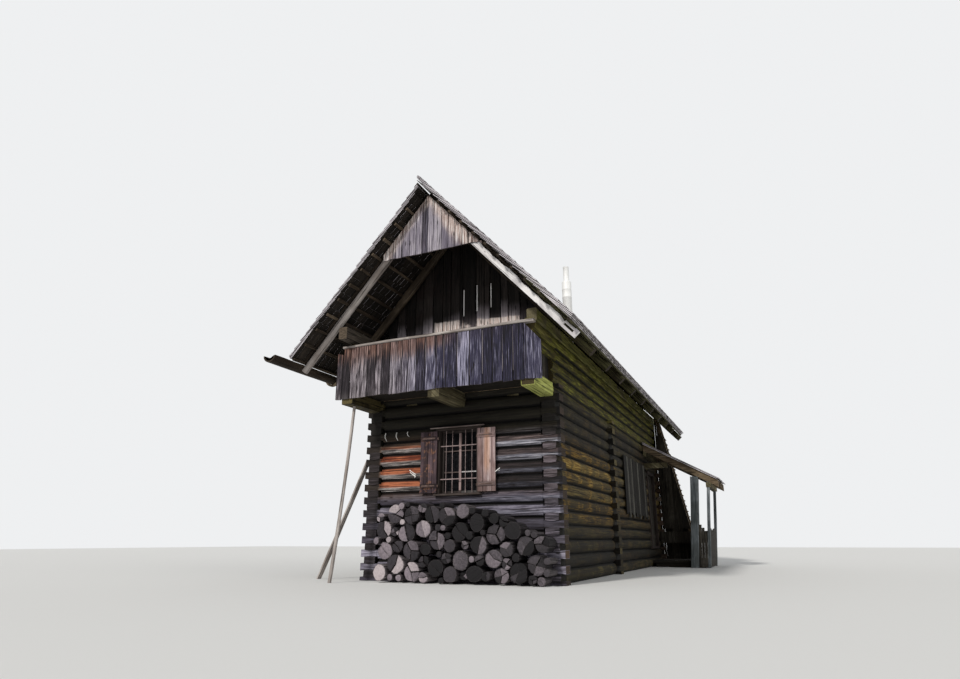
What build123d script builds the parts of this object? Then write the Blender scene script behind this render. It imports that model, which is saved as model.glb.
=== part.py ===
from build123d import *
import math
import os

os.makedirs("parts", exist_ok=True)

# A two-storey log cabin on a level base. X runs right along the front, Y runs to the rear, Z is up.
# The origin is the middle of the underside of the front wall's foot log. All lengths are in mm.

# Logs and the log walls
course = 224            # height of one course of logs
log_diameter = 246      # round log before it is scribed to the log below
log_gap = 0.5           # scribed joint between two logs
side_wall_x = 1677      # centre line of each side wall
rear_wall_y = 9350      # centre line of the rear wall
cross_wall_y = 3700     # centre line of the cross wall
side_courses = 18       # full logs in a side wall
front_courses = 13      # full logs in a cross-running wall, between its half foot and top logs
head_reach = 75         # how far a crossing log's head stands past the side wall
head_flare = 1.25       # height of a head's tip over its neck
beyond = 5000           # cuts reach this far past the logs
end_proud = 6           # side log end past the front wall's face

# Floors
floor_top = 448         # ground floor
floor_board = 40
floor_joist_height = 160
floor_joist_width = 140
floor_joist_count = 7
beam_width = 210        # ceiling beams, the middle one carries the balcony
beam_offset = 1000      # side ceiling beams from the middle one
beam_height = 250
beam_middle_x = 33
beam_end_setback = 60   # side beams stop inside the outer walls' faces
loft_floor_setback = 100    # loft floor from the rear wall's outer face

# Balcony
balcony_reach = 930     # parapet's back face in front of the front wall's face
balcony_half_width = 1920
rail_clearance = 90     # knee logs stop behind the handrail
knee_courses = 2        # top side wall logs that run on over the balcony
parapet_board = 28
parapet_drop = 136      # parapet boards below the balcony deck's underside
parapet_height = 924    # parapet boards' full height
parapet_boards = 19
side_board_count = 6
parapet_gap = 4
corner_cut_width = 100  # the last board's cut corner
corner_cut_height = 210
rail_width = 130
rail_proud = 25         # handrail in front of the parapet boards
rail_inset = 110        # handrail's ends inside the parapet's
rail_height = 45
seat_gap = 0.3          # clearance between pieces that bear on each other

# Roof
roof_pitch = 48.2       # degrees
plate_width = 180
plate_reach = 680       # right plate's end in front of the front wall's face
rafter_depth = 160
rafter_width = 110
rafter_count = 10
batten_depth = 40
batten_width = 60
batten_step = 330
batten_end_setback = 60
shingle_depth = 95      # laid shingles, three layers thick
shingle_step = 18       # butt thickness that shows at each course
eave_x = 2619           # roof's lower edge from the middle
rafter_setback = 125    # rafters' tails and battens end inside the eave
batten_setback = 125
verge_rafter_reach = 1180   # first rafters' front face in front of the front wall's face
verge_plank = 50        # right verge rafter is a plank hung under the battens
verge_reach = 1478      # roof's front edge in front of the front wall's face
rear_verge_reach = 400
ridge_overshoot = 100   # the right slope's top course runs on past the ridge
pole_diameter = 150     # left verge rafter is a round pole
pole_flat = 6           # taken off its top
slot_width = 30         # slot in the verge plank
slot_length = 210
slot_end = 60
gable_bottom = 5355     # lower edge of the boarded gable triangle
gable_board = 28
loft_front_y = -60      # loft wall's front face, over the front wall
slit_places = (60, 330, 610)
slit_width = 22
slit_bottom = 4605
slit_height = 570

# Front window and its shutters
window_x = 30
window_width = 700
window_bottom = 1420
window_height = 1070
casing_width = 85
casing_head = 45
casing_depth = 240
casing_proud = 20
sash_width = 40
sash_depth = 36
sash_setback = 70
muntin_width = 22
pane_rows = 3
glass_thickness = 4
drip_reach = 120
drip_board = 22
drip_fall = 24          # from the casing to the board's front edge
drip_gap = 2            # board's back edge from the wall
drip_half = 500
sill_reach = 90
sill_height = 45
sill_fall = 14
shutter_width = 345
shutter_board = 25
shutter_batten = 20
shutter_batten_height = 75
shutter_batten_inset = 12   # battens stop inside the leaf's edges
shutter_seams = (0.27, 0.52, 0.76)  # joints between a leaf's boards, as shares of its width
seam_width = 4
seam_depth = 5
leaf_gap = 8            # leaf from the hinge pin
hinge_offset = 45       # hinge line in front of the wall's face
hinge_pin = 6           # pin radius
hinge_gap = 0.1         # running clearance round the pin
strap_thickness = 5     # eye's wall round the pin
strap_plate = 8
strap_height = 30
pin_arm = 12            # height of the arm that carries a pin
pin_arm_proud = 2       # arm's edges past the pin
hinge_beside = 22       # hinge line beside the window's clear width
hinge_inset = 130       # hinges from the window's top and bottom
pin_gap = 1
shutter_clearance = 8

# Door under the porch
door_to_porch_end = 877     # door's middle to the porch's rear end
door_width = 860
door_courses = 9        # side wall courses that the door's frame takes up
door_board = 40
door_sill = 60
door_gap = 3
door_batten_inset = 250

# Chimney pipe
pipe_x = 1330
pipe_y = 2450
pipe_radius = 100
pipe_thin_radius = 62
pipe_wall = 3
pipe_neck_z = 6030
pipe_top_z = 6390
pipe_below_roof = 700
pipe_clearance = 12
pipe_neck_step = 8      # height of the step between the two diameters
flashing_length = 400
flashing_width = 360
flashing = 8

# Gutter on the left eave
gutter_radius = 130
gutter_wall = 32
gutter_gap = 15         # gutter from the rafters' ends
gutter_front_reach = 1880
gutter_rise = 65        # gutter's rim above the shingles' lower edge
gutter_stop = 60        # closed end at the rear
hook_width = 40
hook_thickness = 45
hook_reach = 220        # how far the hooks run up the rafters' sides

# Hung boards on the right wall
hung_length = 2550
hung_to_porch = 77      # boards' rear end to the porch's front
hung_bottom = 1200
hung_height = 1350
hung_board = 26
hung_count = 17
hung_gap = 12
hung_uneven = 60        # how much the boards' lower ends differ
uneven_turn = 2.3       # from one board's lower end to the next, in radians

# Porch on the right, at the rear
porch_length = 1750
porch_to_screen = 191   # porch's rear end to the screen's first post
porch_lean = 0.085      # the posts lean out by this much of their height
porch_post_x = 2852     # main post's foot
porch_post = 200
porch_outer_x = 3200    # feet of the slim posts
porch_slim_post = 80
porch_post_setback = 10
porch_reach = 3677      # roof's outer edge from the middle
porch_pitch = 29.0
porch_roof_depth = 60
porch_rafter_depth = 150
porch_rafter_width = 120
porch_rafter_count = 4
porch_top_z = 3190      # roof's top against the side wall
porch_plate = 120
porch_ledger_width = 60
porch_ledger_height = 150
porch_bracket_reach = 600
porch_bracket = 130
porch_verge = 60        # roof past the first and last rafters
porch_seat = 20         # depth of the rafters' seats
porch_deck_top = 170
porch_deck = 60
porch_sleeper = 120
porch_sleeper_shares = (0.2, 0.5, 0.8)    # sleepers along the porch
porch_rail_top = 1030   # front parapet's highest board
porch_rail_fall = 75    # each next front board is this much lower
porch_front_boards = 3
porch_side_top = 920
porch_rear_low = 590    # low parapet across the porch's rear side
porch_rear_top = 890
porch_low = 20          # parapet boards' feet above the ground
porch_board = 25
porch_board_count = 10
porch_rail = 40
porch_rail_height = 60

# Raking screen behind the porch
screen_top_x = 1960
screen_foot_x = 2740
screen_top_z = 3640
screen_post = 80
screen_batten = 30
screen_batten_step = 150
screen_board = 25
screen_board_count = 5
screen_hem = 920        # ragged lower edge of the boards at the front end
screen_low = 90         # lowest batten
board_gap = 4           # open joint between two upright boards

# Loose pieces that lean or lie against the cabin
stack_depth = 400
stack_top = 1300
stack_line = ((-1380, 0.82), (-900, 1.0), (-200, 1.0), (500, 0.94), (1000, 0.85), (1450, 0.7),
              (1780, 0.52))     # firewood's upper line: places across, shares of its top
lean_pole_diameter = 70
lean_pole_reach = 750   # in front of the front wall's face
lean_pole_foot_x = -1924
lean_pole_top_x = -1642
lean_plank_width = 120
lean_plank = 32
lean_plank_top = 2080
lean_plank_run = 950    # plank's foot from the log heads that it leans on

wall_radius = log_diameter / 2
front_face_y = -wall_radius
side_face_x = side_wall_x + wall_radius
rear_face_y = rear_wall_y + wall_radius
side_top = side_courses * course
bearer_course = front_courses    # side wall log that runs on as the balcony's bearer
pitch = math.radians(roof_pitch)
slope = math.tan(pitch)
plate_outer_x = side_wall_x + plate_width / 2
plate_top = side_top + course
verge_y = front_face_y - verge_reach
roof_rear_y = rear_face_y + rear_verge_reach
deck_underside = (front_courses + 1) * course
beam_bottom = deck_underside - beam_height
parapet_back_y = front_face_y - balcony_reach
crossings = (0, cross_wall_y, rear_wall_y)


def block(x, y, z):
    """Box between two values on each axis."""
    size = (x[1] - x[0], y[1] - y[0], z[1] - z[0])
    middle = ((x[0] + x[1]) / 2, (y[0] + y[1]) / 2, (z[0] + z[1]) / 2)
    return Pos(*middle) * Box(*size)


def pole(start, end, radius):
    """Round pole between two points."""
    line = Vector(*end) - Vector(*start)
    return extrude(Plane(origin=start, z_dir=line) * Circle(radius), line.length)


def outline(*points):
    """Flat face inside a closed outline."""
    return make_face(Polyline(*points, close=True))


def upright(y):
    """Plane across the building, seen from the front, at a place along it."""
    return Plane(origin=(0, y, 0), x_dir=(1, 0, 0), z_dir=(0, -1, 0))


def lengthwise(face, y_start, y_end):
    """Upright section carried along the building from one place to another."""
    return extrude(upright(y_end) * face, y_end - y_start)


def joined(pieces):
    """Pieces fixed to each other, as one solid."""
    return pieces[0].fuse(*pieces[1:])


def left(piece):
    """The same piece on the left of the middle."""
    return mirror(piece, Plane.YZ)


def about_window(piece):
    """The same piece on the window's other side."""
    return mirror(piece, Plane(origin=(window_x, 0, 0), z_dir=(1, 0, 0)))


def save(name, pieces):
    """Write one node's solids to its own file."""
    solids = []
    for piece in pieces:
        solids += piece.solids()
    result = solids[0] if len(solids) == 1 else Compound(children=solids)
    result.label = name
    export_step(result, f"parts/{name}.step")


# Log walls

def log_section():
    """Round log cut flat above and below where it is scribed to its neighbours."""
    return Circle(wall_radius) & Rectangle(log_diameter, course - log_gap)


def side_log(y_start, notched):
    """Log along Y. A notched one is cut away above and below where a crossing log passes."""
    y_end = rear_face_y + end_proud
    plane = Plane(origin=(0, y_start, 0), x_dir=(1, 0, 0), z_dir=(0, 1, 0))
    log = extrude(plane * log_section(), y_end - y_start)
    neck = course / 4 - log_gap / 2
    across = (-log_diameter, log_diameter)
    for y in crossings if notched else ():
        zone = (y - wall_radius - log_gap, y + wall_radius + log_gap)
        log -= block(across, zone, (neck, course))
        log -= block(across, zone, (-course, -neck))
    return log


def side_wall(x, openings=()):
    """Stack of side logs. The bearer and the knee logs run on over the balcony."""
    flush = front_face_y - end_proud
    bearer = side_log(parapet_back_y + seat_gap, True)
    knee = side_log(parapet_back_y + rail_clearance, False)
    notched = side_log(flush, True)
    plain = side_log(flush, False)
    logs = []
    for index in range(side_courses):
        if index == bearer_course:
            log = bearer
        elif index < bearer_course:
            log = notched
        elif index < side_courses - knee_courses:
            log = plain
        else:
            log = knee
        log = Pos(x, 0, (index + 0.5) * course) * log
        for opening in openings:
            log -= opening
        logs.append(log)
    return logs


def crossing_log():
    """Log along X: full section between the walls, a neck through each wall and a flared head."""
    inner = side_wall_x - wall_radius - log_gap
    plane = Plane(origin=(-inner, 0, 0), x_dir=(0, 1, 0), z_dir=(1, 0, 0))
    log = extrude(plane * log_section(), 2 * inner)
    neck = course / 4 - log_gap / 2
    tip = neck * head_flare
    end = side_face_x + head_reach
    profile = outline((inner, -neck), (side_face_x, -neck), (end, -tip), (end, tip),
                      (side_face_x, neck), (inner, neck))
    half = wall_radius - end_proud
    head = lengthwise(profile, -half, half)
    return log + head + left(head)


def crossing_wall(y, openings):
    """Stack of crossing logs between a half log at the foot and a half log at the top."""
    log = crossing_log()
    foot = log & block((-beyond, beyond), (-log_diameter, log_diameter), (0, course))
    top = log & block((-beyond, beyond), (-log_diameter, log_diameter), (-course, 0))
    logs = [Pos(0, y, 0) * foot]
    for index in range(front_courses):
        logs.append(Pos(0, y, (index + 1) * course) * log)
    logs.append(Pos(0, y, deck_underside) * top)
    for opening in openings:
        logs = [log - opening for log in logs]
    return logs


def wall_plate(x, y_start):
    """Hewn beam along the top of a side wall."""
    return block((x - plate_width / 2, x + plate_width / 2),
                 (y_start, roof_rear_y - batten_end_setback),
                 (side_top + seat_gap, plate_top))


# Floors

beam_places = (beam_middle_x - beam_offset, beam_middle_x, beam_middle_x + beam_offset)
room_x = side_wall_x - wall_radius - seat_gap
rooms = ((wall_radius + seat_gap, cross_wall_y - wall_radius - seat_gap),
         (cross_wall_y + wall_radius + seat_gap, rear_wall_y - wall_radius - seat_gap))


def ceiling_beam(x, gap):
    """Hewn beam let into the crossing walls. The middle one runs out under the balcony."""
    middle = x == beam_middle_x
    y_start = parapet_back_y + seat_gap if middle else front_face_y + beam_end_setback
    half = beam_width / 2 + gap
    return block((x - half, x + half), (y_start - gap, rear_face_y - beam_end_setback + gap),
                 (beam_bottom + seat_gap - gap, deck_underside - seat_gap))


def floor_joists():
    """Joists of the ground floor from side wall to side wall."""
    low = floor_top - floor_board - floor_joist_height
    joists = []
    step = (rear_wall_y - cross_wall_y) / floor_joist_count
    y = wall_radius + step / 4
    while y < rear_wall_y - wall_radius - floor_joist_width:
        if abs(y + floor_joist_width / 2 - cross_wall_y) > wall_radius + floor_joist_width:
            joists.append(block((-room_x, room_x), (y, y + floor_joist_width),
                                (low, floor_top - floor_board - seat_gap)))
        y += step
    return joists


def ground_floor():
    """Plank floor of each room."""
    return [block((-room_x, room_x), room, (floor_top - floor_board, floor_top)) for room in rooms]


def loft_floor():
    """Plank floor over the ceiling beams."""
    return block((-room_x, room_x), (front_face_y + seat_gap, rear_face_y - loft_floor_setback),
                 (deck_underside + seat_gap, deck_underside + floor_board))


# Roof

def slope_z(x, depth):
    """Height at a distance from the middle, at a depth above the rafters' underside."""
    return plate_top + (plate_outer_x - x) * slope + depth / math.cos(pitch)


def slope_band(low, high, x_low, x_high):
    """Outline of a layer of the right slope between two depths and two distances."""
    return outline((x_low, slope_z(x_low, low)), (x_high, slope_z(x_high, low)),
                   (x_high, slope_z(x_high, high)), (x_low, slope_z(x_low, high)))


verge_rafter_y = front_face_y - verge_rafter_reach
plate_end_y = front_face_y - plate_reach
gable_rafter_y = rear_face_y - beam_end_setback - rafter_width
last_rafter_y = roof_rear_y - batten_end_setback - rafter_width
rafter_step = (gable_rafter_y - verge_rafter_y) / rafter_count
rafter_end_x = eave_x - rafter_setback
batten_end_x = eave_x - batten_setback


def plate_seat(y):
    """Room for the right wall plate under a rafter."""
    return block((side_wall_x - plate_width / 2 - seat_gap, plate_outer_x + seat_gap),
                 (y - plate_width, y + 2 * plate_width), (side_top, plate_top + seat_gap))


def rafter(y):
    """Right-hand rafter with its seat cut over the wall plate and a plumb cut at the ridge."""
    body = lengthwise(slope_band(0, rafter_depth, seat_gap, rafter_end_x), y, y + rafter_width)
    return body - plate_seat(y)


def verge_plank_rafter():
    """Plank under the right verge, with a long slot near its lower end."""
    y = verge_rafter_y
    body = lengthwise(slope_band(slot_width, rafter_depth, seat_gap, rafter_end_x), y, y + verge_plank)
    middle = (slot_width + rafter_depth) / 2
    run = slot_length * math.cos(pitch)
    slot = slope_band(middle - slot_width / 2, middle + slot_width / 2,
                      rafter_end_x - slot_end - run, rafter_end_x - slot_end)
    return body - lengthwise(slot, y - verge_plank, y + 2 * verge_plank)


def round_rafter(y):
    """Right-hand rafter made of a round pole, flattened a little on top for the battens."""
    radius = pole_diameter / 2
    middle = rafter_depth - radius + pole_flat
    start = (0, y + radius, slope_z(0, middle))
    end = (rafter_end_x, y + radius, slope_z(rafter_end_x, middle))
    keep = lengthwise(slope_band(-pole_diameter, rafter_depth, seat_gap, rafter_end_x),
                      y - pole_flat, y + pole_diameter + pole_flat)
    return (pole(start, end, radius) & keep) - plate_seat(y)


def battens():
    """Battens across the rafters of the right slope."""
    run = batten_width * math.cos(pitch)
    step = batten_step * math.cos(pitch)
    pieces = []
    x = batten_end_x
    while x - run > seat_gap:
        band = slope_band(rafter_depth + seat_gap, rafter_depth + batten_depth, x - run, x)
        pieces.append(lengthwise(band, verge_y + batten_end_setback, roof_rear_y - batten_end_setback))
        x -= step
    return pieces


def shingle_slope(top_x):
    """Right slope's shingles: the butts step down the roof, one step for each batten."""
    under = rafter_depth + batten_depth + seat_gap
    over = under + shingle_depth
    step = batten_step * math.cos(pitch)
    points = [(top_x, slope_z(top_x, under)), (eave_x, slope_z(eave_x, under))]
    x = eave_x
    while x > top_x:
        points.append((x, slope_z(x, over)))
        x = x - step if x - step > top_x + step / 2 else top_x
        points.append((x, slope_z(x, over - shingle_step)))
    return lengthwise(outline(*points), verge_y, roof_rear_y)


def gable_face(low, depth):
    """Outline of a boarded gable wall between the side walls, up to a depth in the roof."""
    top = slope_z(0, depth)
    side = slope_z(room_x, depth)
    return outline((-room_x, low), (room_x, low), (room_x, side), (0, top), (-room_x, side))


def loft_front():
    """Boarded wall of the loft over the front wall, with three open slits."""
    wall = lengthwise(gable_face(deck_underside + floor_board + seat_gap, rafter_depth - seat_gap),
                      loft_front_y, loft_front_y + gable_board)
    for x in slit_places:
        wall -= block((x - slit_width / 2, x + slit_width / 2),
                      (loft_front_y - gable_board, loft_front_y + 2 * gable_board),
                      (slit_bottom, slit_bottom + slit_height))
    return wall


def rear_gable():
    """Boarded wall on the outside of the last rafters, over the rear log wall."""
    y = rear_face_y - beam_end_setback + seat_gap
    return lengthwise(gable_face(deck_underside + seat_gap, rafter_depth - seat_gap), y, y + gable_board)


def gable_triangle():
    """Boarded triangle under the verge, on the front of the first rafters."""
    depth = rafter_depth - seat_gap
    reach = plate_outer_x + (plate_top + depth / math.cos(pitch) - gable_bottom) / slope
    face = outline((-reach, gable_bottom), (reach, gable_bottom), (0, slope_z(0, depth)))
    return lengthwise(face, verge_rafter_y - seat_gap - gable_board, verge_rafter_y - seat_gap)


def chimney():
    """Metal pipe in two diameters, open above, with a flashing on the shingles."""
    roof_z = slope_z(pipe_x, rafter_depth + batten_depth + shingle_depth)
    low = roof_z - pipe_below_roof
    profile = outline((pipe_radius - pipe_wall, low), (pipe_radius, low), (pipe_radius, pipe_neck_z),
                      (pipe_thin_radius, pipe_neck_z + pipe_neck_step), (pipe_thin_radius, pipe_top_z),
                      (pipe_thin_radius - pipe_wall, pipe_top_z),
                      (pipe_thin_radius - pipe_wall, pipe_neck_z + pipe_neck_step / 2),
                      (pipe_radius - pipe_wall, pipe_neck_z - pipe_wall))
    pipe = revolve(Plane.XZ * profile, Axis.Z)
    sheet = Pos(0, 0, flashing / 2 + seat_gap) * Box(flashing_length, flashing_width, flashing)
    sheet = Pos(0, 0, roof_z) * Rot(0, roof_pitch, 0) * sheet
    sheet -= Pos(0, 0, roof_z) * Cylinder(pipe_radius - pipe_wall / 2, pipe_below_roof)
    return Pos(pipe_x, pipe_y, 0) * (pipe + sheet)


def pipe_hole():
    """Way for the pipe through the shingles and battens."""
    return Pos(pipe_x, pipe_y, slope_z(pipe_x, 0)) * Cylinder(pipe_radius + pipe_clearance, 2 * pipe_below_roof)


gutter_x = -(rafter_end_x + gutter_gap + gutter_radius)
gutter_z = slope_z(eave_x, rafter_depth + batten_depth) + gutter_rise
gutter_start_y = front_face_y - gutter_front_reach
gutter_end_y = roof_rear_y + gutter_stop


def gutter():
    """Hollowed half log along the left eave, closed at its rear end."""
    lower = Pos(0, -gutter_radius) * Rectangle(4 * gutter_radius, 2 * gutter_radius)
    place = Pos(gutter_x, gutter_z)
    body = lengthwise(place * (Circle(gutter_radius) & lower), gutter_start_y, gutter_end_y)
    trough = Circle(gutter_radius - gutter_wall)
    return body - lengthwise(place * trough, gutter_start_y - gutter_stop, gutter_end_y - gutter_stop)


def gutter_hooks():
    """Grown wooden hooks nailed to the rafters' sides that reach down and round the gutter."""
    inside = gutter_radius + seat_gap
    outer = gutter_radius + hook_width
    lower = Pos(0, -outer) * Rectangle(4 * outer, 2 * outer)
    cradle = Pos(gutter_x, gutter_z) * ((Circle(outer) - Circle(inside)) & lower)
    shank = slope_band(hook_width, rafter_depth - hook_width / 2, rafter_end_x - hook_reach,
                       rafter_end_x + gutter_gap - seat_gap)
    face = cradle + mirror(shank, Plane.YZ)
    hooks = []
    for index in range(1, rafter_count + 1, 2):
        y = verge_rafter_y + index * rafter_step - seat_gap
        hooks.append(lengthwise(face, y - hook_thickness, y))
    return hooks


# Balcony

parapet_low = deck_underside - parapet_drop
rail_low = parapet_low + parapet_height + seat_gap


def parapet():
    """Front boards of the balcony, hung on the bearers' ends, the last cut off at its corner."""
    step = 2 * balcony_half_width / parapet_boards
    y = (parapet_back_y - parapet_board, parapet_back_y)
    boards = []
    for index in range(parapet_boards):
        x = index * step - balcony_half_width
        boards.append(block((x + parapet_gap / 2, x + step - parapet_gap / 2), y,
                            (parapet_low, parapet_low + parapet_height)))
    top = parapet_low + parapet_height
    corner = outline((balcony_half_width - corner_cut_width, top), (balcony_half_width, top),
                     (balcony_half_width, top - corner_cut_height))
    boards[-1] -= lengthwise(corner, y[0], y[1])
    return boards


def handrail():
    """Rail on top of the parapet boards."""
    y = parapet_back_y - parapet_board - rail_proud
    reach = balcony_half_width - rail_inset
    rail = block((-reach, reach), (y, y + rail_width), (rail_low, rail_low + rail_height))
    return fillet(rail.edges().filter_by(Axis.X), rail_height / 5)


def balcony_side():
    """Boards between the bearer and the knee logs on the balcony's right side."""
    low = deck_underside + seat_gap
    high = (side_courses - knee_courses) * course - seat_gap
    y_start = parapet_back_y + rail_clearance
    step = (front_face_y - end_proud - seat_gap - y_start) / side_board_count
    x = side_wall_x
    return [block((x, x + parapet_board), (y_start + i * step, y_start + (i + 1) * step - parapet_gap),
                  (low, high)) for i in range(side_board_count)]


def balcony_deck():
    """Boards of the balcony floor on the bearers and the middle beam."""
    half = side_wall_x - seat_gap
    return block((-half, half), (parapet_back_y + seat_gap, front_face_y - end_proud - seat_gap),
                 (deck_underside + seat_gap, deck_underside + floor_board))


# Window and shutters

casing_y = front_face_y - casing_proud
casing_end_y = casing_y + casing_depth
window_top = window_bottom + window_height
casing_half = window_width / 2 + casing_width


def window_opening():
    """Hole through the front wall for the casing and the sill."""
    half = casing_half + seat_gap
    return block((window_x - half, window_x + half), (-course, course),
                 (window_bottom - sill_height - seat_gap, window_top + casing_head + seat_gap))


def window_casing():
    """Jambs and head round the window, as deep as the wall."""
    y = (casing_y, casing_end_y)
    jamb = block((window_x + window_width / 2, window_x + casing_half), y,
                 (window_bottom + seat_gap, window_top))
    head = block((window_x - casing_half, window_x + casing_half), y, (window_top, window_top + casing_head))
    return jamb + about_window(jamb) + head


def window_sill():
    """Sill under the casing, sloped outside the wall."""
    face = outline((casing_end_y, window_bottom), (casing_end_y, window_bottom - sill_height),
                   (front_face_y - sill_reach, window_bottom - sill_height),
                   (front_face_y - sill_reach, window_bottom - sill_fall), (casing_y, window_bottom))
    plane = Plane(origin=(window_x - casing_half, 0, 0), x_dir=(0, 1, 0), z_dir=(1, 0, 0))
    return extrude(plane * face, 2 * casing_half)


def drip_over_window():
    """Sloped board on the casing's head that throws the rain clear."""
    low = window_top + casing_head + seat_gap
    face = outline((front_face_y - drip_gap, low), (casing_y, low),
                   (front_face_y - drip_reach, low - drip_fall),
                   (front_face_y - drip_reach, low - drip_fall + drip_board),
                   (front_face_y - drip_gap, low + drip_board))
    plane = Plane(origin=(window_x - drip_half, 0, 0), x_dir=(0, 1, 0), z_dir=(1, 0, 0))
    return extrude(plane * face, 2 * drip_half)


sash_y = front_face_y + sash_setback
sash_half = window_width / 2 - seat_gap
sash_low = window_bottom + 2 * seat_gap
sash_high = window_top - seat_gap


def window_sash():
    """Two-leaf sash with a middle upright and two cross bars."""
    y = (sash_y, sash_y + sash_depth)
    sash = block((window_x - sash_half, window_x + sash_half), y, (sash_low, sash_high))
    pane_x = (window_x + sash_width / 2, window_x + sash_half - sash_width)
    inner_low = sash_low + sash_width
    pane_step = (sash_high - sash_width - inner_low + muntin_width) / pane_rows
    for row in range(pane_rows):
        low = inner_low + row * pane_step
        pane = block(pane_x, (y[0] - 1, y[1] + 1), (low, low + pane_step - muntin_width))
        sash -= pane
        sash -= about_window(pane)
    return sash


def window_glass():
    """One pane behind the whole sash."""
    y = sash_y + sash_depth + seat_gap
    half = sash_half - sash_width / 2
    return block((window_x - half, window_x + half), (y, y + glass_thickness),
                 (sash_low + sash_width / 2, sash_high - sash_width / 2))


hinge_x = window_x + window_width / 2 + hinge_beside
hinge_y = front_face_y - hinge_offset
hinge_levels = (window_bottom + hinge_inset, window_top - hinge_inset)


def shutter():
    """Right shutter, open against the wall: boards, two battens and two straps with their eyes."""
    inner = hinge_x + hinge_pin + leaf_gap
    outer = hinge_x + shutter_width
    low = window_bottom + shutter_clearance
    high = window_top - shutter_clearance
    half = shutter_board / 2
    leaf = block((inner, outer), (hinge_y - half, hinge_y + half), (low, high))
    for share in shutter_seams:
        x = inner + share * (outer - inner)
        leaf -= block((x - seam_width / 2, x + seam_width / 2),
                      (hinge_y - half - seam_depth, hinge_y - half + seam_depth),
                      (low - seam_depth, high + seam_depth))
    for level in hinge_levels:
        leaf += block((inner + shutter_batten_inset, outer - shutter_batten_inset),
                      (hinge_y - half - shutter_batten, hinge_y - half),
                      (level - shutter_batten_height / 2, level + shutter_batten_height / 2))
        leaf += block((hinge_x, inner + seam_depth), (hinge_y - strap_plate / 2, hinge_y + strap_plate / 2),
                      (level - strap_height / 2, level + strap_height / 2))
        leaf += Pos(hinge_x, hinge_y, level) * Cylinder(hinge_pin + strap_thickness, strap_height)
        leaf -= Pos(hinge_x, hinge_y, level) * Cylinder(hinge_pin + hinge_gap, 2 * strap_height)
    return leaf


def shutter_pins():
    """Right-hand hinge pins, each on an arm that is nailed to the casing's face."""
    pins = []
    for level in hinge_levels:
        arm_top = level - strap_height / 2 - pin_gap
        arm_half = hinge_pin + pin_arm_proud
        arm = block((hinge_x - arm_half, hinge_x + arm_half), (hinge_y - arm_half, casing_y),
                    (arm_top - pin_arm, arm_top))
        pin = Pos(hinge_x, hinge_y, (arm_top + level + strap_height / 2) / 2)
        pins.append(arm + pin * Cylinder(hinge_pin, level + strap_height / 2 - arm_top))
    return pins


# Places along the right wall, from the screen forward

screen_start_y = gable_rafter_y + (rafter_width - screen_post) / 2
porch_rear_y = screen_start_y - porch_to_screen
porch_front_y = porch_rear_y - porch_length
hung_y = porch_front_y - hung_to_porch - hung_length
door_y = porch_rear_y - door_to_porch_end


# Door on the right, under the porch

door_casing_half = door_width / 2 + casing_width
door_top = floor_top + door_courses * course


def door_opening():
    """Hole through the right wall, whole logs high, for the door's frame."""
    half = door_casing_half + seat_gap
    return block((side_wall_x - course, side_wall_x + course), (door_y - half, door_y + half),
                 (floor_top - log_gap / 2, door_top + log_gap / 2))


def door_frame():
    """Jambs, head and sill of the door."""
    x = (side_wall_x - casing_depth / 4, side_face_x)
    outer = block(x, (door_y - door_casing_half, door_y + door_casing_half),
                  (floor_top + seat_gap, door_top - seat_gap))
    inner = block((x[0] - 1, x[1] + 1), (door_y - door_width / 2, door_y + door_width / 2),
                  (floor_top + door_sill, door_top - casing_width))
    return outer - inner


def door_leaf():
    """Closed plank door with two battens outside."""
    y = (door_y - door_width / 2 + door_gap, door_y + door_width / 2 - door_gap)
    z = (floor_top + door_sill + seat_gap, door_top - casing_width - door_gap)
    x = side_wall_x
    leaf = block((x, x + door_board), y, z)
    for level in (z[0] + door_batten_inset, z[1] - door_batten_inset):
        leaf += block((x + door_board, x + door_board + shutter_batten),
                      (y[0] + door_sill, y[1] - door_sill),
                      (level - shutter_batten_height / 2, level + shutter_batten_height / 2))
    return leaf


def doorway():
    """Way through the cross wall between the two rooms, whole logs high."""
    return block((-door_width / 2, door_width / 2), (cross_wall_y - course, cross_wall_y + course),
                 (floor_top + course / 2 - log_gap / 2, door_top - course / 2 + log_gap / 2))


# Right wall's hung boards

def hung_boards():
    """Loose upright boards hung over the logs, of uneven length."""
    step = hung_length / hung_count
    x = side_face_x + seat_gap
    boards = []
    for index in range(hung_count):
        y = hung_y + index * step
        low = hung_bottom + hung_uneven * math.sin(index * uneven_turn)
        boards.append(block((x, x + hung_board), (y, y + step - hung_gap),
                            (low, hung_bottom + hung_height)))
    return boards


# Porch

porch_angle = math.radians(porch_pitch)
porch_under = porch_roof_depth + porch_rafter_depth


def porch_z(x, depth):
    """Height at a distance from the middle, at a depth below the porch roof's top."""
    return porch_top_z - (x - side_face_x) * math.tan(porch_angle) - depth / math.cos(porch_angle)


def porch_band(high, low, x_low, x_high):
    """Outline of a layer of the porch roof between two depths."""
    return outline((x_low, porch_z(x_low, low)), (x_high, porch_z(x_high, low)),
                   (x_high, porch_z(x_high, high)), (x_low, porch_z(x_low, high)))


def leaning(x_low, x_high, z_low, z_high):
    """Outline that leans out with the porch, from the distances at its foot."""
    shift_low = z_low * porch_lean
    shift_high = z_high * porch_lean
    return outline((x_low + shift_low, z_low), (x_high + shift_low, z_low),
                   (x_high + shift_high, z_high), (x_low + shift_high, z_high))


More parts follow.
